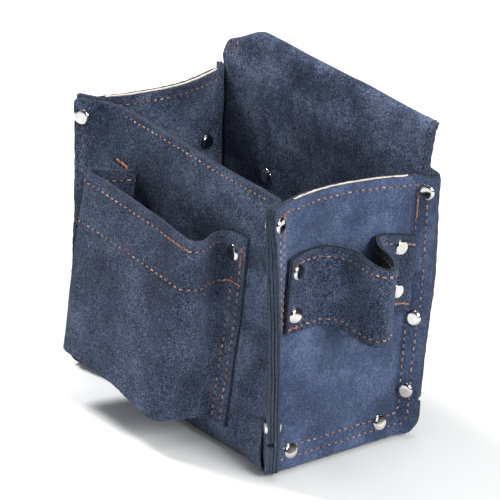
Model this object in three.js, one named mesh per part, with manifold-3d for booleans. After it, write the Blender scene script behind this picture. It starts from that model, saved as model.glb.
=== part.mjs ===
// Electrician's tool pouch in split leather: an open-topped box pouch with a patch pocket on its
// front, a pear-shaped tool loop on each side and a belt tunnel rolled over behind its back.
// Millimetres, +Z up. The front faces -Y, the wearer is on the +Y side and the right side is +X.
// The origin is the centre of the underside, which rests on Z = 0.
import * as THREE from "three";
import { mergeVertices } from "three/addons/utils/BufferGeometryUtils.js";
import Module from "manifold-3d";

const wasm = await Module();
wasm.setup();

// ---------------------------------------------------------------- driving dimensions
const LEATHER = 1.5; // thickness of one layer of leather
const BOARD = 1.3; // thickness of the side stiffener board
const GAP = 0.3; // clearance between neighbouring layers
const SEAM_GAP = 0.5; // clearance in the middle of a seam, between the two linings
const LOOP_THICK = 2.6; // tool loop band: two thin layers sewn together

const HALF_W_TOP = 87.25; // half the width between the side seams, at the top
const HALF_W_LOW = 84.75; // and at the bottom
const HALF_D = 47.25; // half the depth between the corner seams
const FRONT_BELLY = 3; // how far the front stands forward at its bottom
const BELLY_HEIGHT = 76; // height over which the belly dies out
const FRONT_TOP = 168; // height of the front's top edge
const CREASE_Z = 18.7; // height of the bottom seam's fold
const SEAM_BOTTOM = 18.2; // width of the bottom seam flange
const SEAM_BOTTOM_ANGLE = 73; // its angle below the level, degrees
const BEND = 5.5; // bend radius of the leather at a seam
const MIN_TANGENT = 1.5; // least length from a wrap fold to the end of its bend
const FOLD = 4; // bend radius of the wrap's front and rear bottom folds
const FOLD_CLEAR = 0.6; // from the end of such a fold to the first row of the bottom
const NOTCH_INSET = 0.7; // how far the seam fold steps in where the flange is notched
const SAG_HALF = 58; // half the length of the flat part of the bottom
const SAG_END = 82; // distance from the middle at which the sag ends
const SAG_TOP = 74; // height at which the front and back stop following the sag
const BOARD_INSET = 5.6; // from a seam fold to the stiffener board's edge
const PANEL_INSET = 5.2; // from a seam fold to the side panel's outermost flat column
const BOARD_DROP = 0.4; // from a side panel's top edge down to its board's

const CAP_R = 5.1; // rivet cap radius
const CAP_RIM = 0.35; // height of the cap's cylindrical rim
const SHOULDER_R = 3.7; // radius where the cap's dome flattens
const SHOULDER = 1.2; // height there
const CAP_HEIGHT = 1.6;
const POST_R = 1.4; // rivet post radius
const HOLE_R = 1.95; // punched hole radius
const HOLE_LENGTH = 24; // length of the punch that cuts it

// Distances outward from the middle of a seam
const LINING_MID = SEAM_GAP / 2 + LEATHER / 2;
const OUTER_MID = LINING_MID + LEATHER + GAP;
const SKIN = OUTER_MID + LEATHER / 2; // outer face of the outer leather
const BOARD_MID = LINING_MID + LEATHER / 2 + GAP + BOARD / 2;
const SIDE_BUMP = BOARD + GAP; // the side's outer leather passes over the board
const SIDE_SKIN = SKIN + SIDE_BUMP;

const FOLD_TOP_Z = CREASE_Z + FOLD; // where the wrap's bottom folds meet the front and back
const WALL_FOOT_Z = FOLD_TOP_Z + 0.5; // lowest row of the front, the back and the side panels
const SAG = CREASE_Z - SKIN; // how far the bottom hangs below its seams
const LEAF_Y = HALF_D + 2 * SKIN + GAP; // base surface of the tunnel's rear leaf at its rivets

// ---------------------------------------------------------------- helpers
const rad = (degrees) => (degrees * Math.PI) / 180;
const clamp01 = (v) => Math.min(1, Math.max(0, v));
const lerp = (from, to, t) => from + (to - from) * t;
const point = (x, y, z) => new THREE.Vector3(x, y, z);

// Smooth step from 0 at start to 1 at end
function ramp(start, end, v) {
  const t = clamp01((v - start) / (end - start));
  return t * t * (3 - 2 * t);
}

// Linear interpolation in a table of [input, output], held level beyond its ends
function lookUp(table, v) {
  if (v <= table[0][0]) return table[0][1];
  for (let i = 1; i < table.length; i++) {
    const [start, startValue] = table[i - 1];
    const [end, endValue] = table[i];
    if (v <= end) return startValue + ((endValue - startValue) * (v - start)) / (end - start);
  }
  return table[table.length - 1][1];
}

function toManifold(geometry) {
  const bare = geometry.clone();
  for (const name of Object.keys(bare.attributes)) {
    if (name !== "position") bare.deleteAttribute(name);
  }
  const merged = mergeVertices(bare, 1e-4);
  return new wasm.Manifold(
    new wasm.Mesh({
      numProp: 3,
      vertProperties: new Float32Array(merged.attributes.position.array),
      triVerts: new Uint32Array(merged.index.array),
    }),
  );
}

function fromManifold(solid) {
  const mesh = solid.getMesh();
  const geometry = new THREE.BufferGeometry();
  const position = new THREE.BufferAttribute(new Float32Array(mesh.vertProperties), 3);
  geometry.setAttribute("position", position);
  geometry.setIndex(new THREE.BufferAttribute(new Uint32Array(mesh.triVerts), 1));
  geometry.computeVertexNormals();
  return geometry;
}

// Reverses every triangle if the closed surface is inside out
function turnOutward(position, index) {
  let volume = 0; // six times the signed volume
  const [a, b, c] = [point(), point(), point()];
  for (let k = 0; k < index.length; k += 3) {
    a.fromArray(position, index[k] * 3);
    b.fromArray(position, index[k + 1] * 3);
    c.fromArray(position, index[k + 2] * 3);
    volume += a.dot(b.cross(c));
  }
  if (volume >= 0) return;
  for (let k = 0; k < index.length; k += 3) {
    [index[k + 1], index[k + 2]] = [index[k + 2], index[k + 1]];
  }
}

// A closed sheet from grid[i][j] = { p, n, bump }: a base point, its normal and an optional extra
// offset. The sheet's mid-surface lies at the offset from the base points.
function sheet(grid, offset, thickness) {
  const rows = grid.length;
  const cols = grid[0].length;
  const position = [];
  for (const face of [1, -1]) {
    for (const { p, n, bump = 0 } of grid.flat()) {
      const d = offset + bump + (face * thickness) / 2;
      position.push(p.x + n.x * d, p.y + n.y * d, p.z + n.z * d);
    }
  }
  const at = (face, i, j) => face * rows * cols + i * cols + j;
  const index = [];
  const quad = (a, b, c, d) => index.push(a, b, c, a, c, d);
  for (let i = 0; i < rows - 1; i++) {
    for (let j = 0; j < cols - 1; j++) {
      quad(at(0, i, j), at(0, i, j + 1), at(0, i + 1, j + 1), at(0, i + 1, j));
      quad(at(1, i, j), at(1, i + 1, j), at(1, i + 1, j + 1), at(1, i, j + 1));
    }
  }
  // the four edges
  const lastCol = cols - 1;
  for (let i = 0; i < rows - 1; i++) {
    quad(at(0, i, 0), at(0, i + 1, 0), at(1, i + 1, 0), at(1, i, 0));
    quad(at(0, i, lastCol), at(1, i, lastCol), at(1, i + 1, lastCol), at(0, i + 1, lastCol));
  }
  const lastRow = rows - 1;
  for (let j = 0; j < cols - 1; j++) {
    quad(at(0, 0, j), at(1, 0, j), at(1, 0, j + 1), at(0, 0, j + 1));
    quad(at(0, lastRow, j), at(0, lastRow, j + 1), at(1, lastRow, j + 1), at(1, lastRow, j));
  }
  turnOutward(position, index);
  const geometry = new THREE.BufferGeometry();
  geometry.setAttribute("position", new THREE.Float32BufferAttribute(position, 3));
  geometry.setIndex(index);
  return geometry;
}

// Normal, in plan, of a polyline of [x, y] at point k
function planNormal(points, k) {
  const before = points[Math.max(0, k - 1)];
  const after = points[Math.min(points.length - 1, k + 1)];
  const dx = after[0] - before[0];
  const dy = after[1] - before[1];
  const length = Math.hypot(dx, dy);
  return point(-dy / length, dx / length, 0);
}

// Section of a seam flange turned through an angle (radians), from its edge to the start of its
// bend: distance along the panel past the fold, distance out from the panel, and angle.
function flangeSection(angle, width, radius = BEND) {
  const tangent = radius * Math.tan(angle / 2);
  return [
    { along: width * Math.cos(angle), out: width * Math.sin(angle), angle },
    ...[angle, angle / 2, 0].map((a) => ({
      along: radius * Math.sin(a) - tangent,
      out: radius * (1 - Math.cos(a)),
      angle: a,
    })),
  ];
}

// ---------------------------------------------------------------- shape of the pouch
const creaseX = (z) =>
  lerp(HALF_W_LOW, HALF_W_TOP, clamp01((z - CREASE_Z) / (FRONT_TOP - CREASE_Z)));
const frontY = (z) => -HALF_D - FRONT_BELLY * (1 - clamp01((z - CREASE_Z) / BELLY_HEIGHT));

// How far the back draws in towards its foot: [z, mm]
const BACK_DRAW = [[17.5, 5.5], [60, 3.8], [100, 0]];
const backY = (z) => HALF_D - lookUp(BACK_DRAW, z);

// outward is the direction along Y that the wall faces
const FRONT = { name: "front", outward: -1, wallY: frontY };
const BACK = { name: "back", outward: 1, wallY: backY };

// The back left flange is cut narrower below the roll: [z, width]
const BACK_LEFT_WIDTH = [[148, 15.5], [168, 8.3]];
const frontSeamRise = (z) => clamp01((z - 21) / 145);

// front, back: each corner seam's flange angle from the X axis (degrees) and width, by height.
// topEdge: [y, z]. rimLean: how far the side leans in at the rim, [y, mm].
// loopReach: largest |y| of the tool loop band. topRivet: from fold to top front rivet.
const SIDES = {
  left: {
    name: "left",
    sign: -1,
    front: { angle: (z) => lerp(24, 30, frontSeamRise(z)), width: () => 13 },
    back: { angle: () => 26, width: (z) => lookUp(BACK_LEFT_WIDTH, z) },
    topEdge: [[-47, 168.6], [47, 167.4]],
    rimLean: [
      [-HALF_D, 0], [-34, 4.3], [-25, 6.2], [-12.5, 8], [0, 9.5],
      [12.5, 9.6], [25, 7], [34, 4.4], [HALF_D, 0],
    ],
    loopReach: 45.2,
    topRivet: 8,
  },
  right: {
    name: "right",
    sign: 1,
    front: { angle: (z) => lerp(22, 68, frontSeamRise(z)), width: () => 14.6 },
    back: { angle: () => 30, width: () => 16 },
    topEdge: [[-47, 168], [47, 163]],
    rimLean: [
      [-HALF_D, 0], [-34, 4.9], [-25, 7.3], [-12.5, 8.5], [0, 8.6],
      [12.5, 7.4], [25, 5.1], [34, 3], [HALF_D, 0],
    ],
    loopReach: 47.2,
    topRivet: 9,
  },
};

// How far the front's top edge bows inwards: [x, mm]
const BOW = [
  [-87, 0], [-79, 4.8], [-68, 7.6], [-60, 8.1], [-44, 7],
  [-12, 5], [26, 3.2], [56, 1.4], [87, 0],
];
const bow = (x, z) => ramp(138, 172, z) * lookUp(BOW, x);

// How far the sides lean in at the tool loops' upper edge: [y, mm]
const LOOP_LEAN = [
  [-HALF_D, 0], [-34, 3.8], [-25, 4.3], [-12.5, 3.7], [0, 2.6],
  [12.5, 1.5], [25, 0.6], [34, 0.2], [HALF_D, 0],
];
const LEAN_SHARE = [[90, 0], [110, 0.42], [130, 1]]; // share of that lean: [z, share]
const lean = (side, y, z) =>
  lerp(
    lookUp(LOOP_LEAN, y) * lookUp(LEAN_SHARE, z),
    lookUp(side.rimLean, y),
    clamp01((z - 130) / 35),
  );

// The lean's slope along y and along z
function leanSlope(side, y, z) {
  if (Math.abs(y) > HALF_D) return [0, 0];
  const y0 = Math.max(-HALF_D, y - 2);
  const y1 = Math.min(HALF_D, y + 2);
  return [
    (lean(side, y1, z) - lean(side, y0, z)) / (y1 - y0),
    (lean(side, y, z + 3) - lean(side, y, z - 3)) / 6,
  ];
}

const sagAt = (x, z) =>
  SAG * (1 - ramp(SAG_HALF, SAG_END, Math.abs(x))) * (1 - ramp(FOLD_TOP_Z, SAG_TOP, z));

// ---------------------------------------------------------------- wrap: front, bottom, back, tunnel
const WRAP_X = [-79, -68, -SAG_HALF, -20, 20, SAG_HALF, 74]; // columns between the seam bends
const FRONT_Z = [FRONT_TOP, 160, 150, 140, 110, 90, 60, 32, WALL_FOOT_Z];
const BACK_Z = [WALL_FOOT_Z, 32, 60, 80, 100, 130, 148, 161];

// One cross-section of the wrap at a place on its path. seamOf(side) gives that side's fold
// { x, angle (degrees), width }; move(p) may shift a point.
function wrapRow({ y, z, normalY, normalZ }, seamOf, move) {
  const cell = (x, out, normalX, normalOut) => {
    const p = point(x, y + normalY * out, z + normalZ * out);
    move?.(p);
    p.z -= sagAt(p.x, z);
    return { p, n: point(normalX, normalY * normalOut, normalZ * normalOut) };
  };
  const flange = (side) => {
    const seam = seamOf(side);
    const turn = rad(seam.angle);
    const radius = Math.max(BEND, MIN_TANGENT / Math.tan(turn / 2));
    return flangeSection(turn, seam.width, radius).map(({ along, out, angle }) =>
      cell(side.sign * (seam.x + along), out, -side.sign * Math.sin(angle), Math.cos(angle)),
    );
  };
  return [
    ...flange(SIDES.left),
    ...WRAP_X.map((x) => cell(x, 0, 0, 1)),
    ...flange(SIDES.right).reverse(),
  ];
}

function wallRow(wall, z, move) {
  const path = { y: wall.wallY(z), z, normalY: wall.outward, normalZ: 0 };
  const seamOf = (side) => {
    const corner = side[wall.name];
    return { x: creaseX(z), angle: corner.angle(z), width: corner.width(z) };
  };
  return wrapRow(path, seamOf, move);
}

// A row of the fold between a wall (turn 0) and the bottom (turn 90 degrees). The flange is
// notched here: only its bend is left.
function foldRow(wall, turn) {
  const cos = Math.cos(rad(turn));
  const sin = Math.sin(rad(turn));
  const path = {
    y: wall.wallY(FOLD_TOP_Z) - wall.outward * (FOLD - FOLD * cos),
    z: FOLD_TOP_Z - FOLD * sin,
    normalY: wall.outward * cos,
    normalZ: -sin,
  };
  return wrapRow(path, (side) => {
    const angle = lerp(side[wall.name].angle(CREASE_Z), SEAM_BOTTOM_ANGLE, turn / 90);
    const width = Math.max(BEND * Math.tan(rad(angle) / 2), MIN_TANGENT) + 0.3;
    return { x: HALF_W_LOW - NOTCH_INSET, angle, width };
  });
}

const bottomRow = (y) =>
  wrapRow({ y, z: CREASE_Z, normalY: 0, normalZ: -1 }, () => ({
    x: HALF_W_LOW,
    angle: SEAM_BOTTOM_ANGLE,
    width: SEAM_BOTTOM,
  }));

// Neck, roll and rear leaf of the belt tunnel:
// [y, z, left angle, left width, right angle, right width, x of the fold]
// The rear leaf is narrower, so that it passes between the corner seams.
const TUNNEL = [
  [47.35, 164.5, 26, 9.6, 30, 15, HALF_W_TOP],
  [47.6, 168.2, 25, 8.6, 22, 9.5, HALF_W_TOP],
  [48.6, 173, 12, 8, 12, 8.5, HALF_W_TOP],
  [50, 179, 5, 7.5, 5, 8.5, HALF_W_TOP],
  [51.2, 185.5, 3, 7, 3, 8.5, HALF_W_TOP],
  [52.3, 190.6, 2, 6.5, 2, 8.5, HALF_W_TOP],
  [54, 193.6, 2, 6.5, 2, 8.5, HALF_W_TOP],
  [56.8, 194.9, 2, 6.5, 2, 8.5, HALF_W_TOP],
  [59.7, 194, 2, 5.5, 2, 7, HALF_W_TOP],
  [61.8, 191.3, 2, 4, 2, 4, 85],
  [62.6, 187, 2, 2, 2, 2, 82],
  [63.4, 178, 2, 2, 2, 2, 79],
  [63.7, 165, 2, 2, 2, 2, 78],
  [63.5, 150, 2, 2, 2, 2, 78],
  [62.8, 137, 2, 2, 2, 2, 78],
  [60.4, 128, 2, 2, 2, 2, 78],
  [LEAF_Y + 2, 122.6, 2, 2, 2, 2, 78],
  [LEAF_Y, 119.6, 2, 2, 2, 2, 78],
  [LEAF_Y, 103.5, 2, 2, 2, 2, 78],
];
const NECK_Z = 171; // the roll droops above this height

// The roll's left end droops a little
function droop(p) {
  if (p.z > NECK_Z) {
    p.z = NECK_Z + (p.z - NECK_Z) * (1 - 0.55 * (1 - ramp(-97, -64, p.x)));
  }
}

function tunnelRows() {
  const path = [[HALF_D, 161], ...TUNNEL, [LEAF_Y, 90]];
  return TUNNEL.map(([y, z, leftAngle, leftWidth, rightAngle, rightWidth, x], k) => {
    let dy = path[k + 2][0] - path[k][0];
    let dz = path[k + 2][1] - path[k][1];
    if (k === TUNNEL.length - 2) [dy, dz] = [-0.35, -1]; // softer turn where the leaf flattens
    const length = Math.hypot(dy, dz);
    const seams = {
      left: { x, angle: leftAngle, width: leftWidth },
      right: { x, angle: rightAngle, width: rightWidth },
    };
    const station = { y, z, normalY: dz / length, normalZ: -dy / length };
    return wrapRow(station, (side) => seams[side.name], droop);
  });
}

function wrapGrid() {
  const bottomFront = frontY(FOLD_TOP_Z) + FOLD + FOLD_CLEAR;
  const bottomBack = backY(FOLD_TOP_Z) - FOLD - FOLD_CLEAR;
  const bowIn = (p) => (p.y += bow(p.x, p.z));
  return [
    ...FRONT_Z.map((z) => wallRow(FRONT, z, bowIn)),
    ...[0, 30, 60, 90].map((turn) => foldRow(FRONT, turn)),
    ...[bottomFront, -15, 15, bottomBack].map(bottomRow),
    ...[90, 60, 30, 0].map((turn) => foldRow(BACK, turn)),
    ...BACK_Z.map((z) => wallRow(BACK, z)),
    ...tunnelRows(),
  ];
}

// ---------------------------------------------------------------- side panels and boards
const RIM = "rim"; // stands for the row that follows the panel's top edge
const RIM_Z = 165; // height at which that row's front and back are taken
const PANEL_Z = [32, 60, 80, 90, 100, 110, 130, 148, RIM];
const PANEL_Y = [-34, -25, -12.5, 0, 12.5, 25, 34];

// A point of a side panel's flat part, with its normal
function panelPoint(side, y, z) {
  const [slopeY, slopeZ] = leanSlope(side, y, z);
  return {
    p: point(side.sign * (creaseX(z) - lean(side, y, z)), y, z),
    n: point(side.sign, slopeY, slopeZ).normalize(),
  };
}

// A side panel with its three seam flanges, from the bottom flange's edge up
function sideGrid(side) {
  const flat = { along: 0, out: 0, angle: 0 };
  const rows = [
    ...flangeSection(rad(90 - SEAM_BOTTOM_ANGLE), SEAM_BOTTOM).map((bottom) => [CREASE_Z, bottom]),
    ...[WALL_FOOT_Z, 26, ...PANEL_Z].map((level) => [level, flat]),
  ];
  return rows.map(([level, bottom]) => {
    const zAt = (y) => (level === RIM ? lookUp(side.topEdge, y) : level);
    const nominalZ = level === RIM ? RIM_Z : level;

    // dy and out are measured from the panel at y; tilt is the normal's lean along y.
    // Where a corner and the bottom flange meet, their slopes are shared by reach.
    const cell = (y, dy, out, tilt, seamDistance) => {
      const z = zAt(y);
      const reach = Math.hypot(out, bottom.out);
      const divisor = reach || 1;
      const [slopeY, slopeZ] = leanSlope(side, y + dy, z);
      const n = point(
        1,
        slopeY + (tilt * out) / divisor,
        slopeZ + (Math.tan(bottom.angle) * bottom.out) / divisor,
      ).normalize();
      n.x *= side.sign;
      const x = side.sign * (creaseX(z) + reach - lean(side, y + dy, z));
      const inset = Math.min(seamDistance, z - CREASE_Z - bottom.along);
      return {
        p: point(x, y + dy, z - bottom.along),
        n,
        bump: SIDE_BUMP * ramp(1.5, 5, inset),
      };
    };
    const cornerFlange = (wall) => {
      const y = wall.wallY(nominalZ);
      const corner = side[wall.name];
      const turn = rad(90 - corner.angle(nominalZ));
      return flangeSection(turn, corner.width(zAt(y))).map(({ along, out, angle }) =>
        cell(y, wall.outward * along, out, -wall.outward * Math.tan(angle), 0),
      );
    };
    const front = frontY(nominalZ);
    const back = backY(nominalZ);
    return [
      ...cornerFlange(FRONT),
      ...[front + PANEL_INSET, ...PANEL_Y, back - PANEL_INSET].map((y) =>
        cell(y, 0, 0, 0, Math.min(y - front, back - y)),
      ),
      ...cornerFlange(BACK).reverse(),
    ];
  });
}

function boardGrid(side) {
  return [CREASE_Z + 6.5, ...PANEL_Z].map((level) => {
    const nominalZ = level === RIM ? RIM_Z : level;
    const front = frontY(nominalZ) + BOARD_INSET;
    const back = backY(nominalZ) - BOARD_INSET;
    return [front, ...PANEL_Y, back].map((y) =>
      panelPoint(side, y, level === RIM ? lookUp(side.topEdge, y) - BOARD_DROP : level),
    );
  });
}

// ---------------------------------------------------------------- tool loops
// From the side's outer face to the band's mid-surface, where the band lies on the side
const LAID = 2 * GAP + LOOP_THICK / 2;
// Band stations: upper edge and lower edge, each [distance out from the side's outer face, y, z],
// then hold, which is 1 where the band lies on the side panel and 0 where it stands free.
const LOOP = [
  [[LAID, -46.9, 133.6], [LAID, -47.2, 88], 1],
  [[LAID, -34, 134.2], [LAID, -34, 88], 1],
  [[LAID, -25, 134], [LAID, -27.5, 88], 1],
  [[2.8, -16.8, 133.8], [2.4, -23.6, 87.8], 0.9],
  [[5.6, -10.2, 133.3], [5.8, -18, 87.6], 0.3],
  [[12.1, -6.9, 133.2], [12.2, -14.6, 87.3], 0],
  [[20.9, -8.1, 133.1], [21.4, -14.8, 87], 0],
  [[28.8, -9.5, 133], [31, -15.8, 86.8], 0],
  [[35.8, -9.6, 133], [37.2, -15.5, 86.7], 0],
  [[40.4, -8, 133], [41.3, -13.8, 86.7], 0],
  [[41.9, -5.2, 133], [43.2, -10.6, 86.7], 0],
  [[41, -1.6, 133], [42.4, -7.2, 86.6], 0],
  [[38, 1.4, 133], [38.8, -2.4, 86.5], 0],
  [[34, 4.1, 133], [34.3, 1.3, 86.4], 0],
  [[26.1, 7.7, 132.9], [26.5, 5, 86.2], 0],
  [[18.5, 9.7, 132.8], [18.5, 8, 86], 0],
  [[12, 11.2, 132.7], [12, 11, 85.7], 0],
  [[6.6, 14.3, 132.7], [6.4, 14.4, 85.4], 0.3],
  [[3.2, 17.6, 132.7], [3, 17.8, 85], 0.8],
  [[2.1, 21.6, 132.6], [2.05, 21.5, 84.5], 1],
  [[LAID, 25, 132.4], [LAID, 25, 84], 1],
  [[LAID, 34, 130.5], [LAID, 34, 82.5], 1],
  [[LAID, 46.4, 127.2], [LAID, 43.2, 80], 1],
];

function loopGrid(side) {
  // the band's inner rows keep level with the side panel's rows
  return ["lower edge", 90, 110, 130, "upper edge"].map((level) => {
    const stations = LOOP.map(([upper, lower, hold]) => {
      let z = Math.min(level, upper[2] - 0.6);
      if (level === "lower edge") z = lower[2];
      if (level === "upper edge") z = upper[2];
      const t = (z - lower[2]) / (upper[2] - lower[2]);
      const out = SIDE_SKIN + lerp(lower[0], upper[0], t);
      const bandY = lerp(lower[1], upper[1], t);
      const y = Math.max(-side.loopReach, Math.min(side.loopReach, bandY));
      // both bands stand off along the right panel's normal
      const { n } = panelPoint(SIDES.right, y, z);
      const normal = point(lerp(1, n.x, hold), n.y * hold, n.z * hold).normalize();
      const base = lerp(creaseX(z), creaseX(z) - lean(side, y, z), hold);
      return { p: point(base, y, z).addScaledVector(normal, out), normal, laid: hold === 1 };
    });
    const plan = stations.map(({ p }) => [p.x, p.y]);
    return stations.map(({ p, normal, laid }, k) => {
      const n = laid ? normal.negate() : planNormal(plan, k);
      n.x *= side.sign;
      p.x *= side.sign;
      return { p, n };
    });
  });
}

// ---------------------------------------------------------------- patch pocket
const CURTAIN_STEPS = 4;
const ON = null; // in place of a y: the point lies on the pouch's front
const onFront = (z) => frontY(z) - SKIN - GAP - LEATHER / 2;

// Top and bottom edges of the pocket's walls: [x, y, z]
const POCKET_LEFT = {
  top: [
    [-66.2, ON, 139], [-56, ON, 138.4], [-43, ON, 139.2], [-40.6, -54.5, 142.6],
    [-44, -60.5, 142.4], [-51.4, -68.5, 142.2], [-56.8, -74.6, 142],
  ],
  bottom: [
    [-68.2, ON, 30], [-61, ON, 30], [-55, ON, 30], [-53.2, -57.5, 30],
    [-57.2, -66, 30.4], [-60.6, -78, 31], [-61.6, -85.2, 31.4],
  ],
};
const POCKET_RIGHT = {
  top: [
    [44.2, -77.6, 135.4], [46.5, -73.5, 135], [44.5, -66.5, 134.4], [40, -58.5, 133.8],
    [39.2, -54.4, 133.6], [42.5, ON, 134.6], [50, ON, 137], [63.5, ON, 137],
  ],
  bottom: [
    [31.2, -87.2, 20.2], [33.6, -79, 19.6], [35.5, -69, 18.6], [36, -60.5, 17.6],
    [36.6, -57.2, 17], [39.2, ON, 16.4], [45, ON, 16], [52.5, ON, 16],
  ],
};
const POCKET_FRONT = {
  top: [
    [-57.6, -76.4, 142], [-40, -76.2, 141.4], [-16, -76.6, 140],
    [5, -77.4, 138.8], [24, -77.9, 137.4], [42.8, -78.9, 136],
  ],
  bottom: [
    [-61.9, -87.4, 31.6], [-44, -88.6, 29.4], [-20, -89.4, 29.2],
    [0, -89.6, 26.4], [14, -89.4, 23], [29.8, -88.9, 20.4],
  ],
};
// [x at the front edge, x at the rear edge, y of the front edge, z]
const POCKET_BOTTOM = [
  [-59.2, -51.4, -85.8, 33],
  [-20, -20, -87.4, 30.8],
  [0, 0, -87.6, 28.2],
  [14, 14, -87.4, 24.6],
  [29.8, 34.2, -86.8, 22],
];

// A wall ruled from its top edge down to its bottom edge
function curtainGrid({ top, bottom }) {
  const lies = (k) => !top[k] || top[k][1] === ON;
  const rows = [];
  for (let i = 0; i <= CURTAIN_STEPS; i++) {
    const t = i / CURTAIN_STEPS;
    const points = top.map(([x, y, topZ], k) => {
      const low = bottom[k];
      const z = lerp(topZ, low[2], t);
      return [lerp(x, low[0], t), y === ON ? onFront(z) : lerp(y, low[1], t), z];
    });
    rows.push(
      points.map((q, k) => {
        const flat = lies(k - 1) && lies(k) && lies(k + 1);
        return { p: point(...q), n: flat ? point(0, -1, 0) : planNormal(points, k).negate() };
      }),
    );
  }
  return rows;
}

function pocketBottomGrid() {
  return [0, 0.5, 1].map((t) =>
    POCKET_BOTTOM.map(([frontX, rearX, y, z]) => {
      const rearY = onFront(z) - LEATHER / 2 - GAP;
      return { p: point(lerp(frontX, rearX, t), lerp(y, rearY, t), z), n: point(0, 0, 1) };
    }),
  );
}

// ---------------------------------------------------------------- rivets
// Turns a geometry's Y axis to a direction and moves it to a point
function place(geometry, at, direction) {
  const turn = new THREE.Quaternion().setFromUnitVectors(
    point(0, 1, 0),
    direction.clone().normalize(),
  );
  geometry.applyQuaternion(turn);
  geometry.translate(at.x, at.y, at.z);
  return geometry;
}

// A double-cap rivet: its caps sit outside the layers between from and to, along direction
function rivetGeometry({ at, direction, from, to }) {
  const low = from - GAP;
  const high = to + GAP;
  const profile = [
    [0, low - CAP_HEIGHT], [SHOULDER_R, low - SHOULDER], [CAP_R, low - CAP_RIM],
    [CAP_R, low], [POST_R, low], [POST_R, high], [CAP_R, high],
    [CAP_R, high + CAP_RIM], [SHOULDER_R, high + SHOULDER], [0, high + CAP_HEIGHT],
  ].map(([r, h]) => new THREE.Vector2(r, h));
  return place(new THREE.LatheGeometry(profile, 8), at, direction);
}

const holeSolid = ({ at, direction }) =>
  toManifold(
    place(new THREE.CylinderGeometry(HOLE_R, HOLE_R, HOLE_LENGTH, 6), at, direction),
  );

const WRAP_LAYERS = ["outer_wrap", "wrap_lining"];
const seamLayers = (side) => [...WRAP_LAYERS, `${side.name}_side_lining`, `${side.name}_side_outer`];

// Corner seam rivets; reach is measured from the fold along the flange
function cornerRivets(side) {
  const slack = 0.15;
  return [
    [FRONT, "top", 157, side.topRivet],
    [FRONT, "low", 33, 8.4],
    [BACK, "top", 154, 9.6],
    [BACK, "mid", 75, 7.8],
    [BACK, "low", 29.5, 7.4],
  ].map(([wall, level, z, reach]) => {
    const onFlange = (height, width) => {
      const turn = rad(side[wall.name].angle(height));
      return point(
        side.sign * (creaseX(height) + width * Math.cos(turn)),
        wall.wallY(height) + wall.outward * width * Math.sin(turn),
        height,
      );
    };
    const at = onFlange(z, reach);
    const across = onFlange(z, reach + 1).sub(at);
    const up = onFlange(z + 1, reach).sub(at);
    const direction = across.cross(up).normalize();
    if (direction.x * side.sign < 0) direction.negate();
    return {
      name: `rivet_${wall.name}_${side.name}_${level}`,
      at, direction, from: -SKIN - slack, to: SKIN + slack, through: seamLayers(side),
    };
  });
}

function bottomRivets(side) {
  const reach = 8.1; // from the fold
  const cos = Math.cos(rad(SEAM_BOTTOM_ANGLE));
  const sin = Math.sin(rad(SEAM_BOTTOM_ANGLE));
  return [["front", -37], ["back", 28]].map(([end, y]) => ({
    name: `rivet_bottom_${side.name}_${end}`,
    at: point(side.sign * (HALF_W_LOW + reach * cos), y, CREASE_Z - reach * sin),
    direction: point(side.sign * sin, 0, cos),
    from: -SKIN,
    to: SKIN,
    through: seamLayers(side),
  }));
}

function loopRivets(side) {
  const layers = ["side_lining", "side_stiffener", "side_outer", "tool_loop"];
  return [
    ["front_top", -40.4, 124],
    ["front_low", -40.6, 98.4],
    ["back_top", 34.8, 122.8],
    ["back_low", 33, 95.6],
  ].map(([spot, y, z]) => {
    const { p, n } = panelPoint(side, y, z);
    return {
      name: `rivet_${side.name}_loop_${spot}`,
      at: p,
      direction: n,
      from: SEAM_GAP / 2 - 0.15,
      to: SIDE_SKIN + LAID + LOOP_THICK / 2 + 0.1,
      through: layers.map((layer) => `${side.name}_${layer}`),
    };
  });
}

const pocketRivets = () =>
  [["left", -59.8, 128], ["right", 50.4, 124.2]].map(([end, x, z]) => ({
    name: `rivet_pocket_${end}`,
    at: point(x, frontY(z), z),
    direction: point(0, -1, 0),
    from: SEAM_GAP / 2,
    to: SKIN + GAP + LEATHER,
    through: [...WRAP_LAYERS, `pocket_${end}_side`],
  }));

const tunnelRivets = () =>
  [["left", -47.5], ["right", 48.5]].map(([end, x]) => ({
    name: `rivet_tunnel_${end}`,
    at: point(x, HALF_D, 112),
    direction: point(0, 1, 0),
    from: SEAM_GAP / 2,
    to: LEAF_Y - HALF_D - SEAM_GAP / 2,
    through: WRAP_LAYERS,
  }));

const sides = [SIDES.right, SIDES.left];
const rivets = [
  ...sides.flatMap((side) => [
    ...cornerRivets(side), ...bottomRivets(side), ...loopRivets(side),
  ]),
  ...pocketRivets(),
  ...tunnelRivets(),
];

// ---------------------------------------------------------------- assembly
const MATERIALS = {
  leather: { color: 0x3e4b69, roughness: 0.95, metalness: 0 },
  lining: { color: 0x364260, roughness: 0.95, metalness: 0 },
  board: { color: 0xe6dccd, roughness: 0.85, metalness: 0 },
  nickel: { color: 0xc8c8c8, roughness: 0.2, metalness: 1 },
};

const group = new THREE.Group();
group.name = "tool_pouch";

function add(name, geometry, material) {
  const mesh = new THREE.Mesh(geometry, new THREE.MeshStandardMaterial(MATERIALS[material]));
  mesh.name = name;
  group.add(mesh);
}

// Adds a sheet, punched for the rivets that pass through it
function addSheet(name, geometry, material) {
  const holes = rivets.filter((rivet) => rivet.through.includes(name));
  if (!holes.length) {
    add(name, geometry, material);
    return;
  }
  let solid = toManifold(geometry);
  for (const rivet of holes) solid = solid.subtract(holeSolid(rivet));
  add(name, fromManifold(solid), material);
}

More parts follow.
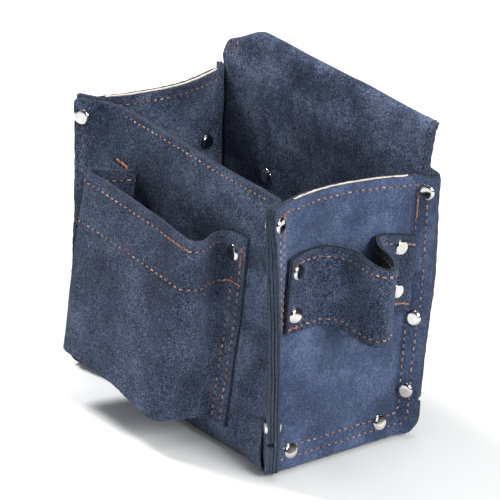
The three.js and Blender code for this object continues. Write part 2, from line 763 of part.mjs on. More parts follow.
function addSide(side) {
  const outer = sideGrid(side);
  const lining = outer.map((row) => row.map(({ p, n }) => ({ p, n }))); // without the bump
  const { name } = side;
  addSheet(`${name}_side_outer`, sheet(outer, OUTER_MID, LEATHER), "leather");
  addSheet(`${name}_side_stiffener`, sheet(boardGrid(side), BOARD_MID, BOARD), "board");
  addSheet(`${name}_side_lining`, sheet(lining, LINING_MID, LEATHER), "lining");
  addSheet(`${name}_tool_loop`, sheet(loopGrid(side), 0, LOOP_THICK), "leather");
}

const wrap = wrapGrid();
addSheet("outer_wrap", sheet(wrap, OUTER_MID, LEATHER), "leather");
addSheet("wrap_lining", sheet(wrap, LINING_MID, LEATHER), "lining");
sides.forEach(addSide);
for (const [name, grid] of [
  ["pocket_left_side", curtainGrid(POCKET_LEFT)],
  ["pocket_right_side", curtainGrid(POCKET_RIGHT)],
  ["pocket_front", curtainGrid(POCKET_FRONT)],
  ["pocket_bottom", pocketBottomGrid()],
]) {
  addSheet(name, sheet(grid, 0, LEATHER), "leather");
}
for (const rivet of rivets) add(rivet.name, rivetGeometry(rivet), "nickel");

export default group;
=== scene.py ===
"""Looks of a leather tool pouch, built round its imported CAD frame. Blender 4.5, metres.

Shapes are worked out in millimetres and scaled as each mesh is made. The pouch stands on z = 0:
x runs to its right, y to its back and z up. One leather wrap makes the front, the bottom, the
back and a roll over the back's top. Two sides close it, each with a tool loop, and a pocket
stands on the front.
"""
import math

import bpy
import numpy as np
from mathutils import Matrix, Vector


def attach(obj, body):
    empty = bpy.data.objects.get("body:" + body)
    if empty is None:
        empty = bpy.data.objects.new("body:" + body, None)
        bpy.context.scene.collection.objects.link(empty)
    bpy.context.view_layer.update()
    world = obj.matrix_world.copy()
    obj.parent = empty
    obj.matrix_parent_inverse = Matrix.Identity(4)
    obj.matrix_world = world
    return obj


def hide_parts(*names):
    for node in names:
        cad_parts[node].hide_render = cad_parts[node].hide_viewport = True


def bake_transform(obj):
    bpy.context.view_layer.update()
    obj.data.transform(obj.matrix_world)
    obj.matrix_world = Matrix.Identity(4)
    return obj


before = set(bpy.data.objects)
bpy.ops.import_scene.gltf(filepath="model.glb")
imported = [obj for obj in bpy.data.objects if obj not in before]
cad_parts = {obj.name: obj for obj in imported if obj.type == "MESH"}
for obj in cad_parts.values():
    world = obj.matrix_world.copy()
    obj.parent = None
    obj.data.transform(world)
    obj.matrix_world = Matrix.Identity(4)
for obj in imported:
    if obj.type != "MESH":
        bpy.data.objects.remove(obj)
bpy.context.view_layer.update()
MM = 0.001

# ---- driving dimensions (mm), as in the CAD part
LEATHER, BOARD, GAP, SEAM_GAP = 1.5, 1.3, 0.3, 0.5
HALF_W_TOP, HALF_W_LOW, HALF_D = 87.25, 84.75, 47.25
FRONT_BELLY, BELLY_RISE, FRONT_TOP, CREASE_Z = 3.0, 76, 168.0, 18.7
SEAM_BOTTOM, SEAM_BOTTOM_ANGLE, BEND, FOLD = 18.2, 73.0, 5.5, 4.0
SAG, SAG_HALF, BOARD_INSET = 15.15, 58.0, 5.4
FOLD_TOP = CREASE_Z + FOLD
FOOT = 23.05  # lower end of the corner flanges
FLANGE_ROUND = 3.2  # corner radius of a flange's end
LOOP_THICK, LOOP_LAYER = 2.6, 1.22

# offsets of each layer from the seam's middle surface, outwards
INNER_FACE = SEAM_GAP / 2
LINING_MID = SEAM_GAP / 2 + LEATHER / 2
SHELL_MID = LINING_MID + LEATHER + GAP
SKIN = SHELL_MID + LEATHER / 2
BOARD_MID = LINING_MID + LEATHER / 2 + GAP + BOARD / 2
SIDE_BUMP = BOARD + GAP  # how far the board pushes out a side's leather
SIDE_SKIN = SKIN + SIDE_BUMP
LEAF_Y = HALF_D + 2 * SKIN + GAP

RIGHT, LEFT, FRONT, BACK = 1, -1, -1, 1  # signs of x and y
SIDES = {RIGHT: "right", LEFT: "left"}
ENDS = {FRONT: "front", BACK: "back"}
# corner flanges by (end, side): width, angle off the panel at the foot, added angle at the top
SEAMS = {
    (FRONT, RIGHT): (14.6, 22, 46),
    (FRONT, LEFT): (13.0, 24, 6),
    (BACK, RIGHT): (16.0, 30, 0),
    (BACK, LEFT): (15.5, 26, 0),
}
# rows of stitching on the seams: distance from a corner crease, and from the bottom crease
SEAM_ROWS = ((4.4, 5.7), (10.6, 11.9))


# ---- small maths
def clamp01(v):
    return np.clip(v, 0.0, 1.0)


def ramp(low, high, v):
    t = clamp01((np.asarray(v, float) - low) / (high - low))
    return t * t * (3 - 2 * t)


def lerp(a, b, t):
    return a + (b - a) * t


def hermite_point(t, start, end, start_slope, end_slope):
    return (
        (2 * t**3 - 3 * t**2 + 1) * start
        + (t**3 - 2 * t**2 + t) * start_slope
        + (-2 * t**3 + 3 * t**2) * end
        + (t**3 - t**2) * end_slope
    )


def hermite(xs, ys, v):
    """A smooth curve through points (xs rising)."""
    xs, ys = np.asarray(xs, float), np.asarray(ys, float)
    v = np.clip(np.asarray(v, float), xs[0], xs[-1])
    slopes = np.gradient(ys, xs)
    k = np.clip(np.searchsorted(xs, v, side="right") - 1, 0, len(xs) - 2)
    span = xs[k + 1] - xs[k]
    t = (v - xs[k]) / span
    return hermite_point(t, ys[k], ys[k + 1], span * slopes[k], span * slopes[k + 1])


def unit(v):
    return v / np.maximum(np.linalg.norm(v, axis=-1, keepdims=True), 1e-9)


def lattice_noise(points, scale, seed):
    """Smooth value noise in -1..1 at points (mm), with features of about scale mm."""
    size = 32
    lattice = np.random.RandomState(seed).uniform(-1, 1, (size, size, size))
    place = np.asarray(points, float) / scale + 500.37
    cell = np.floor(place).astype(int)
    part = place - cell
    part = part * part * part * (part * (part * 6 - 15) + 10)
    cell %= size
    x0, y0, z0 = np.moveaxis(cell, -1, 0)
    x1, y1, z1 = np.moveaxis((cell + 1) % size, -1, 0)
    x, y, z = np.moveaxis(part, -1, 0)

    def along_x(yi, zi):
        return lerp(lattice[x0, yi, zi], lattice[x1, yi, zi], x)

    low = lerp(along_x(y0, z0), along_x(y1, z0), y)
    high = lerp(along_x(y0, z1), along_x(y1, z1), y)
    return lerp(low, high, z)


WARP = ((1.0, 0.3), (1.1, 0.35), (0.35, 0.12))  # per axis: broad and fine amplitude


def warp(points):
    """The pouch's soft unevenness: one smooth field moves layers, stitches and rivets together."""
    points = np.asarray(points, float)
    out = points.copy()
    fade = ramp(2, 14, points[..., 2])
    for axis, (broad, fine) in enumerate(WARP):
        shift = broad * lattice_noise(points, 46, 11 + axis)
        shift = shift + fine * lattice_noise(points, 17, 21 + axis)
        out[..., axis] += shift * fade
    return out


# ---- mesh building
def new_object(name, verts, faces, sharp_angle=None, edge=None):
    mesh = bpy.data.meshes.new(name)
    mesh.from_pydata((np.asarray(verts) * MM).tolist(), [], [list(map(int, f)) for f in faces])
    mesh.validate()
    mesh.shade_smooth()
    if sharp_angle:
        mesh.set_sharp_from_angle(angle=math.radians(sharp_angle))
    if edge is not None:
        attribute = mesh.attributes.new("edge", "FLOAT", "POINT")
        attribute.data.foreach_set("value", np.asarray(edge, np.float32))
    mesh.update()
    obj = bpy.data.objects.new(name, mesh)
    bpy.context.scene.collection.objects.link(obj)
    return obj


def finish_piece(obj, material, replaced=(), blend=None):
    obj.data.materials.append(material)
    if blend:
        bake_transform(obj)
    else:
        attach(obj, "pouch")
    if replaced:
        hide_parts(*replaced)


def signed_volume(verts, quads):
    a, b, c, d = (verts[quads[:, k]] for k in range(4))
    first = np.einsum("ij,ij->i", a, np.cross(b, c))
    return (first + np.einsum("ij,ij->i", c, np.cross(d, a))).sum()


def sheet(name, points, normals, offset, seed, material, replaced=(), slot="suede",
          thickness=LEATHER, rough=0.14, blend=None):
    """One closed sheet from a mid-surface grid, with soft, slightly ragged cut edges."""
    rows, cols = points.shape[:2]
    offset = np.broadcast_to(np.asarray(offset, float), (rows, cols))[..., None]
    mid = points + normals * offset
    outward = np.zeros_like(points)
    gap = np.full((rows, cols), 1e9)
    for border, inner in (
        (np.s_[0], np.s_[1]),
        (np.s_[-1], np.s_[-2]),
        (np.s_[:, 0], np.s_[:, 1]),
        (np.s_[:, -1], np.s_[:, -2]),
    ):
        step = mid[border] - mid[inner]
        outward[border] += unit(step)
        gap[border] = np.minimum(gap[border], np.linalg.norm(step, axis=-1))
    index = np.arange(rows * cols).reshape(rows, cols)
    rim = np.concatenate([index[0], index[1:, -1], index[-1, -2::-1], index[-2:0:-1, 0]])
    mid, flat_normals = mid.reshape(-1, 3), normals.reshape(-1, 3)
    outward = unit(outward.reshape(-1, 3)[rim])
    inset = np.minimum(0.42, 0.4 * gap.ravel()[rim])[:, None]
    top = mid + flat_normals * thickness / 2
    bottom = mid - flat_normals * thickness / 2
    top[rim] -= outward * inset
    bottom[rim] -= outward * inset
    rim_normals = flat_normals[rim]
    rng = np.random.RandomState(seed)
    rings = []
    for height, pull in ((0.40, 0.22), (0.0, 0.0), (-0.40, 0.22)):
        jitter = rng.normal(0, rough, (len(rim), 1)) * outward
        jitter = jitter + rng.normal(0, rough * 0.5, (len(rim), 1)) * rim_normals
        level = mid[rim] + rim_normals * thickness * height
        rings.append(level - outward * inset * pull + jitter)
    verts = np.concatenate([top, bottom] + rings)
    count = rows * cols
    corner = index[:-1, :-1].ravel()
    upper = np.stack([corner, corner + 1, corner + cols + 1, corner + cols], 1)
    lower = np.stack([corner, corner + cols, corner + cols + 1, corner + 1], 1) + count
    levels = [rim]
    levels += [2 * count + k * len(rim) + np.arange(len(rim)) for k in range(3)]
    levels += [count + rim]
    walls = [
        np.stack([a, b, np.roll(b, -1), np.roll(a, -1)], 1) for a, b in zip(levels, levels[1:])
    ]
    quads = np.concatenate([upper, lower] + walls)
    if signed_volume(verts, quads) < 0:
        quads = quads[:, ::-1]
    edge = np.zeros(len(verts))
    edge[rim] = edge[count + rim] = 0.55
    edge[2 * count:] = 1.0
    obj = new_object(name, warp(verts), quads, 55, edge)
    finish_piece(obj, material, replaced, blend)


# ---- materials
class Nodes:
    """Short ways to add nodes to one node tree."""

    def __init__(self, tree):
        self.tree = tree

    def set(self, node, key, value):
        socket = node.inputs[key]
        if isinstance(value, bpy.types.NodeSocket):
            self.tree.links.new(value, socket)
        else:
            socket.default_value = value

    def node(self, kind, inputs=None, **props):
        node = self.tree.nodes.new(kind)
        for key, value in props.items():
            setattr(node, key, value)
        for key, value in (inputs or {}).items():
            self.set(node, key, value)
        return node

    def surface(self, settings):
        for key, value in settings.items():
            self.set(self.shader, key, value)

    def coords(self):
        return self.node("ShaderNodeTexCoord").outputs["Object"]

    def noise(self, vector, scale=1.0, detail=3.0, rough=0.55, distortion=0.0):
        inputs = {"Vector": vector, "Scale": scale, "Detail": detail, "Roughness": rough,
                  "Distortion": distortion}
        return self.node("ShaderNodeTexNoise", inputs).outputs["Fac"]

    def scaled(self, vector, scale, rotation=(0, 0, 0)):
        inputs = {"Vector": vector, "Scale": scale, "Rotation": rotation}
        return self.node("ShaderNodeMapping", inputs).outputs[0]

    def math(self, operation, a, b, clamp=False):
        inputs = {0: a, 1: b}
        return self.node("ShaderNodeMath", inputs, operation=operation, use_clamp=clamp).outputs[0]

    def weighted(self, *terms):
        """Sum of (value, weight) terms."""
        total = None
        for value, weight in terms:
            part = self.math("MULTIPLY", value, weight)
            total = part if total is None else self.math("ADD", total, part)
        return total

    def remap(self, value, source, target):
        inputs = {"Value": value, "From Min": source[0], "From Max": source[1],
                  "To Min": target[0], "To Max": target[1]}
        return self.node("ShaderNodeMapRange", inputs).outputs["Result"]

    def mix(self, factor, a, b):
        inputs = {0: factor, 6: a, 7: b}
        return self.node("ShaderNodeMix", inputs, data_type="RGBA", blend_type="MIX").outputs[2]

    def colours(self, factor, stops):
        node = self.node("ShaderNodeValToRGB", {"Fac": factor})
        elements = node.color_ramp.elements
        while len(elements) > 1:
            elements.remove(elements[-1])
        elements[0].position, elements[0].color = stops[0]
        for position, colour in stops[1:]:
            elements.new(position).color = colour
        return node.outputs["Color"]

    def bump(self, height, strength, distance, normal=None):
        node = self.node(
            "ShaderNodeBump", {"Height": height, "Strength": strength, "Distance": distance}
        )
        if normal is not None:
            self.set(node, "Normal", normal)
        return node.outputs[0]


def new_material(name):
    material = bpy.data.materials.new(name)
    material.use_nodes = True
    nodes = Nodes(material.node_tree)
    nodes.tree.nodes.clear()
    output = nodes.node("ShaderNodeOutputMaterial")
    nodes.shader = nodes.node("ShaderNodeBsdfPrincipled")
    nodes.tree.links.new(nodes.shader.outputs[0], output.inputs[0])
    return material, nodes


def srgb(*rgb):
    linear = [((v / 255 + 0.055) / 1.055) ** 2.4 if v > 10 else v / 255 / 12.92 for v in rgb]
    return (*linear, 1.0)


EDGE_DARK, EDGE_LIGHT = srgb(14, 18, 26), srgb(88, 98, 116)
EDGE_MID = tuple((a + b) / 2 for a, b in zip(EDGE_DARK, EDGE_LIGHT))


def suede(name, dark, mid, light, offset=0.0, contrast=1.0, nap=1.2):
    """Brushed split leather: cloudy patches, short strokes of nap, pale fibres and raw edges.

    offset moves the texture, contrast weighs the broad marks and nap the fine grain.
    """
    dark, mid, light = srgb(*dark), srgb(*mid), srgb(*light)
    material, nodes = new_material(name)
    vector = nodes.node(
        "ShaderNodeVectorMath",
        {0: nodes.coords(), 1: (offset, offset * 0.7, -offset)},
        operation="ADD",
    ).outputs[0]
    cloud = nodes.noise(vector, scale=30, detail=3, rough=0.55, distortion=0.5)
    patch = nodes.noise(vector, scale=135, detail=4, rough=0.62, distortion=0.8)
    stroke_space = nodes.scaled(vector, scale=(900, 900, 380), rotation=(0.5, 0.3, 0.2))
    stroke = nodes.noise(stroke_space, detail=3, rough=0.62, distortion=0.9)
    grain = nodes.noise(vector, scale=980, detail=3.5, rough=0.72, distortion=0.3)
    fibre_space = nodes.scaled(vector, scale=(2400, 900, 1500), rotation=(0.9, 0.4, 1.3))
    fibre = nodes.noise(fibre_space, detail=2, rough=0.6, distortion=0.6)
    tone = nodes.weighted(
        (cloud, 0.62 * contrast), (patch, 0.30 * contrast), (stroke, 0.26 * contrast), (grain, nap)
    )
    tone = nodes.math("ADD", tone, 0.5 - 0.59 * contrast - 0.5 * nap)  # keeps the mean near 0.5
    base = nodes.colours(tone, [(0.28, dark), (0.49, mid), (0.74, light)])
    pit = nodes.remap(grain, source=(0.42, 0.30), target=(0.0, min(0.9, 0.8 * nap)))
    base = nodes.mix(pit, base, tuple(c * 0.42 for c in dark[:3]) + (1.0,))
    speck = nodes.remap(fibre, source=(0.60, 0.72), target=(0.0, 0.5))
    base = nodes.mix(speck, base, tuple(min(1.0, c * 1.35) for c in light[:3]) + (1.0,))
    edge = nodes.node("ShaderNodeAttribute", attribute_name="edge").outputs["Fac"]
    strand_space = nodes.scaled(vector, scale=(1500, 1500, 2600))
    strands = nodes.noise(strand_space, detail=3, rough=0.65)
    fuzz = nodes.colours(strands, [(0.36, EDGE_DARK), (0.52, EDGE_MID), (0.66, EDGE_LIGHT)])
    edge_share = nodes.remap(edge, source=(0.45, 1.0), target=(0.0, 1.0))
    patch_share = nodes.remap(patch, source=(0.3, 0.6), target=(0.75, 1.0))
    base = nodes.mix(nodes.math("MULTIPLY", edge_share, patch_share, clamp=True), base, fuzz)
    relief = nodes.weighted((patch, 0.6), (stroke, 0.5))
    normal = nodes.bump(relief, strength=0.6, distance=0.0009)
    normal = nodes.bump(grain, strength=1.0, distance=0.0016, normal=normal)
    normal = nodes.bump(fibre, strength=0.5, distance=0.0003, normal=normal)
    nodes.surface({
        "Base Color": base,
        "Roughness": 0.97,
        "Specular IOR Level": 0.08,
        "Sheen Weight": 0.10,
        "Sheen Roughness": 0.5,
        "Sheen Tint": (0.72, 0.80, 1.0, 1.0),
        "Normal": normal,
    })
    return material


def board_material():
    material, nodes = new_material("fibre_board")
    vector = nodes.coords()
    layers = nodes.noise(nodes.scaled(vector, scale=(900, 900, 120)), detail=4, rough=0.65)
    spots = nodes.noise(vector, scale=700, detail=3, rough=0.6)
    stops = [(0.32, srgb(150, 138, 120)), (0.5, srgb(216, 206, 190)), (0.7, srgb(242, 236, 225))]
    nodes.surface({
        "Base Color": nodes.colours(nodes.weighted((layers, 0.6), (spots, 0.4)), stops),
        "Roughness": 0.85,
        "Normal": nodes.bump(layers, strength=0.6, distance=0.0003),
    })
    return material


def thread_material(name, dark, mid, light):
    material, nodes = new_material(name)
    vector = nodes.coords()
    shade = nodes.noise(vector, scale=260, detail=2, rough=0.5)
    ply = nodes.noise(vector, scale=2600, detail=2, rough=0.6)
    stops = [(0.34, srgb(*dark)), (0.5, srgb(*mid)), (0.66, srgb(*light))]
    nodes.surface({
        "Base Color": nodes.colours(nodes.weighted((shade, 0.6), (ply, 0.4)), stops),
        "Roughness": 0.6,
        "Specular IOR Level": 0.35,
        "Sheen Weight": 0.25,
        "Normal": nodes.bump(ply, strength=0.6, distance=0.00015),
    })
    return material


def hole_shade_material():
    # near black: painted shade inside the needle holes
    material, nodes = new_material("needle_hole_painted_shade")
    nodes.surface({"Base Color": srgb(16, 20, 30), "Roughness": 1.0, "Specular IOR Level": 0.0})
    return material


def nickel_material():
    material, nodes = new_material("polished_nickel")
    vector = nodes.coords()
    smear = nodes.noise(vector, scale=180, detail=4, rough=0.6)
    fine = nodes.noise(vector, scale=1500, detail=3, rough=0.6)
    stops = [(0.35, (0.50, 0.485, 0.465, 1)), (0.65, (0.68, 0.67, 0.65, 1))]
    nodes.surface({
        "Base Color": nodes.colours(smear, stops),
        "Metallic": 1.0,
        "Roughness": nodes.remap(smear, source=(0.3, 0.7), target=(0.05, 0.15)),
    })
    relief = nodes.math("ADD", smear, nodes.math("MULTIPLY", fine, 0.18))
    nodes.surface({"Normal": nodes.bump(relief, strength=0.10, distance=0.0005)})
    return material


SUEDE = suede("suede_outer", (20, 26, 38), (57, 67, 90), (120, 134, 162))
SUEDE_IN = suede("suede_lining", (20, 26, 38), (60, 70, 94), (124, 138, 166),
                 offset=0.37, nap=1.25)
SUEDE_POCKET = suede("suede_pocket", (18, 24, 35), (53, 62, 84), (112, 125, 152),
                     offset=0.81, contrast=0.7, nap=1.15)
# lighter, bluer copy of the suede for the sides: painted light
SUEDE_SIDE_LIT = suede("suede_side_painted_light", (24, 32, 48), (64, 78, 108), (124, 142, 178),
                   offset=0.55, contrast=0.66, nap=0.5)
SUEDE_LOOP = suede("suede_loop", (18, 24, 36), (48, 57, 79), (104, 118, 146),
                   offset=1.31, contrast=0.7, nap=1.3)
# near-black copy of the suede for the loop's inner layer: painted shade in the hollow
SUEDE_HOLLOW_SHADE = suede("suede_loop_inner_painted_shade", (5, 7, 11), (17, 21, 30), (38, 45, 58), offset=1.77)
BOARD_MAT = board_material()
THREAD = thread_material("copper_thread", (88, 58, 48), (146, 108, 94), (214, 188, 174))
# darker thread: painted shade for rows that lie in shadow, on the front corner seams and inside the
# tool loops
THREAD_SHADE = thread_material("copper_thread_painted_shade", (40, 30, 32), (78, 52, 48), (120, 84, 74))
TACK = thread_material("copper_thread_doubled", (96, 54, 36), (154, 92, 64), (206, 148, 114))
HOLE_SHADE = hole_shade_material()
NICKEL = nickel_material()


# ---- shape of the wrap
def above_crease(z, rise):
    return clamp01((np.asarray(z, float) - CREASE_Z) / rise)


def crease_x(z):
    return lerp(HALF_W_LOW, HALF_W_TOP, above_crease(z, FRONT_TOP - CREASE_Z))


def front_y(z):
    return -HALF_D - FRONT_BELLY * (1 - above_crease(z, BELLY_RISE))


def back_y(z):
    return HALF_D - np.interp(z, [CREASE_Z, 40, 60, 80, 100], [5.5, 4.9, 3.8, 1.75, 0])


def wall_y(end, z):
    return float(front_y(z) if end == FRONT else back_y(z))


def flange_width(end, side, z):
    width = SEAMS[end, side][0]
    if (end, side) == (BACK, LEFT):
        return float(np.interp(z, [148, 168], [width, 8.3]))
    return width


def flange_angle(end, side, z):
    _, low, rise = SEAMS[end, side]
    return float(low + rise * clamp01((z - 21) / 145))


# how far the front's top edge bows back: x, depth
BOW = ([-87, -79, -68, -60, -44, -12, 26, 56, 87], [0, 4.8, 7.6, 8.1, 7, 5, 3.2, 1.4, 0])


def bow(x, z):
    return ramp(138, 172, z) * hermite(*BOW, x)


def sag_at(x):
    return SAG * (1 - ramp(SAG_HALF, 82, np.abs(x)))


def bend_of(edge):
    """Angle, radius and tangent length of the bend at one edge of the wrap."""
    angle = math.radians(edge["angle"])
    radius = max(BEND, 1.5 / math.tan(angle / 2))
    return angle, radius, radius * math.tan(angle / 2)


# A column of the wrap is (x, height off the panel, normal's x, normal's share off the panel).
def bend_column(edge, side, turn):
    _, radius, tangent = bend_of(edge)
    x = edge["x"] - tangent + radius * math.sin(turn)
    return side * x, radius * (1 - math.cos(turn)), -side * math.sin(turn), math.cos(turn)


def flange_column(edge, side, beyond):
    angle = bend_of(edge)[0]
    sine, cosine = math.sin(angle), math.cos(angle)
    return side * (edge["x"] + beyond * cosine), beyond * sine, -side * sine, cosine


def half_columns(edge, side):
    """Columns from the flange's edge to the inner end of the bend."""
    angle, _, tangent = bend_of(edge)
    reach = max(edge["width"], tangent + 0.05)
    flange = [flange_column(edge, side, d) for d in np.linspace(reach, tangent, 8)]
    return flange + [bend_column(edge, side, a) for a in np.linspace(angle, 0, 7)[1:]]


def place(station, columns):
    columns = np.array(columns)
    x, height, normal_x, normal_out = columns.T
    out_y, out_z = station["out"]
    points = np.stack([x, station["y"] + out_y * height, station["z"] + out_z * height], 1)
    normals = np.stack([normal_x, out_y * normal_out, out_z * normal_out], 1)
    return station["shift"](points), normals


def wrap_row(station):
    left, right = (half_columns(station["edges"][side], side) for side in (LEFT, RIGHT))
    xs = np.linspace(left[-1][0], right[-1][0], 85)[1:-1]
    return place(station, left + [(x, 0.0, 0.0, 1.0) for x in xs] + right[::-1])


def rounded(width, place_on, cuts):
    """Width of a flange near its ends (place, direction inwards), cut to a small radius."""
    radius = FLANGE_ROUND
    for cut, direction in cuts:
        d = (place_on - cut) * direction
        if d < radius:
            width -= radius - math.sqrt(max(0.0, radius**2 - (radius - max(d, 0.0)) ** 2))
    return width


def drop(points, share=1.0):
    points = points.copy()
    points[:, 2] -= sag_at(points[:, 0]) * share
    return points


def wall_station(end, z):
    z = float(z)
    cuts = [(FOOT, 1)]
    if end == FRONT:
        cuts.append((FRONT_TOP, -1))

    def shift(points):
        points = points.copy()
        if end == FRONT:
            points[:, 1] += bow(points[:, 0], points[:, 2])
        return drop(points, 1 - ramp(FOLD_TOP, 74, z))

    edges = {
        side: dict(x=float(crease_x(z)), angle=flange_angle(end, side, z),
                   width=rounded(flange_width(end, side, z), z, cuts))
        for side in SIDES
    }
    return dict(y=wall_y(end, z), z=z, out=(float(end), 0.0), shift=shift, edges=edges)


def fold_station(end, degrees):
    """Row of the fold under a wall: 0 degrees at the wall, 90 at the bottom. Flanges are notched."""
    turn = math.radians(degrees)
    edges = {}
    for side in SIDES:
        angle = lerp(flange_angle(end, side, 18), SEAM_BOTTOM_ANGLE, degrees / 90)
        width = max(BEND * math.tan(math.radians(angle) / 2), 1.5) + 0.3
        edges[side] = dict(x=float(crease_x(CREASE_Z)) - 0.7, angle=angle, width=width)
    return dict(
        y=wall_y(end, FOLD_TOP) + end * (FOLD * math.cos(turn) - FOLD),
        z=FOLD_TOP - FOLD * math.sin(turn),
        out=(end * math.cos(turn), -math.sin(turn)),
        shift=drop,
        edges=edges,
    )


def bottom_station(y, width=SEAM_BOTTOM):
    edge = dict(x=float(crease_x(CREASE_Z)), angle=SEAM_BOTTOM_ANGLE, width=width)
    return dict(y=float(y), z=CREASE_Z, out=(0.0, -1.0), shift=drop,
                edges={LEFT: edge, RIGHT: edge})


# the back's roll: y, z, left angle, left width, right angle, right width, x of the creases
ROLL = [
    [47.35, 164.5, 26, 9.6, 30, 15, 87.25], [47.6, 168.2, 25, 8.6, 22, 9.5, 87.25],
    [48.6, 173, 12, 8, 12, 8.5, 87.25], [50, 179, 5, 7.5, 5, 8.5, 87.25],
    [51.2, 185.5, 3, 7, 3, 8.5, 87.25], [52.3, 190.6, 2, 6.5, 2, 8.5, 87.25],
    [54, 193.6, 2, 6.5, 2, 8.5, 87.25], [56.8, 194.9, 2, 6.5, 2, 8.5, 87.25],
    [59.7, 194, 2, 5.5, 2, 7, 87.25], [61.8, 191.3, 2, 4, 2, 4, 85],
    [62.6, 187, 2, 2, 2, 2, 82], [63.4, 178, 2, 2, 2, 2, 79],
    [63.7, 165, 2, 2, 2, 2, 78], [63.5, 150, 2, 2, 2, 2, 78],
    [62.8, 137, 2, 2, 2, 2, 78], [60.4, 128, 2, 2, 2, 2, 78],
    [LEAF_Y + 2, 122.6, 2, 2, 2, 2, 78], [LEAF_Y, 119.6, 2, 2, 2, 2, 78],
    [LEAF_Y, 103.5, 2, 2, 2, 2, 78],
]


def droop(points):
    """Lowers the roll towards its left end."""
    points = points.copy()
    z = points[:, 2]
    share = 1 - 0.55 * (1 - ramp(-97, -64, points[:, 0]))
    points[:, 2] = np.where(z > 171, 171 + (z - 171) * share, z)
    return points


def roll_stations():
    lead = [
        [HALF_D, z, 26, width, 30, 16, float(crease_x(z))] for z, width in ((150, 14.8), (161, 10.8))
    ]
    table = np.array(lead + ROLL, float)
    lengths = np.hypot(np.diff(table[:, 0]), np.diff(table[:, 1]))
    travel = np.concatenate([[0], np.cumsum(lengths)])
    start, end = travel[1], travel[-1]
    fine = np.concatenate([[start], np.arange(start + 1.5, end - 0.9, 1.5), [end]])
    columns = np.array([hermite(travel, table[:, k], fine) for k in range(7)])
    step_y, step_z = np.gradient(columns[0], fine), np.gradient(columns[1], fine)
    length = np.hypot(step_y, step_z)
    stations = []
    for k in range(1, len(fine)):
        y, z, left_angle, left_width, right_angle, right_width, x = columns[:, k].tolist()
        stations.append(dict(
            y=y, z=z, shift=droop,
            out=(float(step_z[k] / length[k]), float(-step_y[k] / length[k])),
            edges={
                LEFT: dict(x=x, angle=max(1.5, left_angle), width=max(1.6, left_width)),
                RIGHT: dict(x=x, angle=max(1.5, right_angle), width=max(1.6, right_width)),
            },
        ))
    return stations


def wrap_stations():
    """Rows of the wrap: down the front, under the bottom, up the back and round the roll."""
    foot = [23.08, 23.5, 24.2, 25.2, 26.6]
    front = [FRONT_TOP - d for d in (0, 0.5, 1.1, 1.9, 3.0, 4.4)]
    front += list(np.arange(161.5, 27.5, -2.3)) + foot[::-1]
    stations = [wall_station(FRONT, z) for z in front]
    turns = np.linspace(0, 90, 8)
    stations += [fold_station(FRONT, degrees) for degrees in turns]
    start = wall_y(FRONT, FOLD_TOP) + FOLD + 0.4
    end = wall_y(BACK, FOLD_TOP) - FOLD - 0.4
    for y in np.concatenate([
        [start, start + 0.5, start + 1.4],
        np.linspace(start + 3, end - 3, 34),
        [end - 1.4, end - 0.5, end],
    ]):
        width = rounded(SEAM_BOTTOM, float(y), [(start, 1), (end, -1)])
        stations.append(bottom_station(y, width))
    stations += [fold_station(BACK, degrees) for degrees in turns[::-1]]
    back = foot + list(np.arange(28.6, 160, 2.6)) + [161.0]
    return stations + [wall_station(BACK, z) for z in back] + roll_stations()


# ---- shape of a side
TOP_EDGE = {RIGHT: ([-47, 0, 47], [168, 165.5, 163]), LEFT: ([-47, 0, 47], [168.6, 168, 167.4])}
# how far a side leans in at LEAN_Y: at the rim, and at the tool loop
LEAN_Y = [-HALF_D, -34, -25, -12.5, 0, 12.5, 25, 34, HALF_D]
LEAN_RIM = {
    RIGHT: [0, 4.9, 7.3, 8.5, 8.6, 7.4, 5.1, 3, 0],
    LEFT: [0, 4.3, 6.2, 8, 9.5, 9.6, 7, 4.4, 0],
}
LEAN_LOOP = [0, 3.8, 4.3, 3.7, 2.6, 1.5, 0.6, 0.2, 0]
RIM_LEVEL = 165.0  # height at which the seams are read for points set out from the rim


def top_edge(side, y):
    return hermite(*TOP_EDGE[side], y)


def lean(side, y, z):
    """How far a side leans in between its corner seams."""
    y, z = np.asarray(y, float), np.asarray(z, float)
    share = np.interp(z, [90, 100, 110, 120, 130], [0, 0.14, 0.42, 0.75, 1])
    low = hermite(LEAN_Y, LEAN_LOOP, y) * share
    inward = lerp(low, hermite(LEAN_Y, LEAN_RIM[side], y), clamp01((z - 130) / 35))
    return np.where(np.abs(y) >= HALF_D, 0.0, inward)


def lean_slope(side, y, z):
    y, z = np.asarray(y, float), np.asarray(z, float)
    before, after = np.maximum(-HALF_D, y - 2), np.minimum(HALF_D, y + 2)
    slope_y = (lean(side, after, z) - lean(side, before, z)) / np.maximum(after - before, 0.5)
    slope_z = (lean(side, y, z + 4) - lean(side, y, z - 4)) / 8
    outside = np.abs(y) > HALF_D
    return np.where(outside, 0.0, slope_y), np.where(outside, 0.0, slope_z)


def panel_points(side, y, z):
    """Points of a side's middle surface, with normals, for arrays of y and z."""
    y, z = np.broadcast_arrays(np.asarray(y, float), np.asarray(z, float))
    slope_y, slope_z = lean_slope(side, y, z)
    points = np.stack([side * (crease_x(z) - lean(side, y, z)), y, z], -1)
    return points, unit(np.stack([np.full(y.shape, float(side)), slope_y, slope_z], -1))


def around_bend(beyond, degrees):
    """(run, rise, turn) at a distance past a side's crease; all zero on the flat panel."""
    angle = math.radians(degrees)
    tangent = BEND * math.tan(angle / 2)
    if beyond <= -tangent:
        return 0.0, 0.0, 0.0
    if beyond < tangent:
        turn = angle * (beyond + tangent) / (2 * tangent)
        return BEND * math.sin(turn) - tangent, BEND * (1 - math.cos(turn)), turn
    return beyond * math.cos(angle), beyond * math.sin(angle), angle


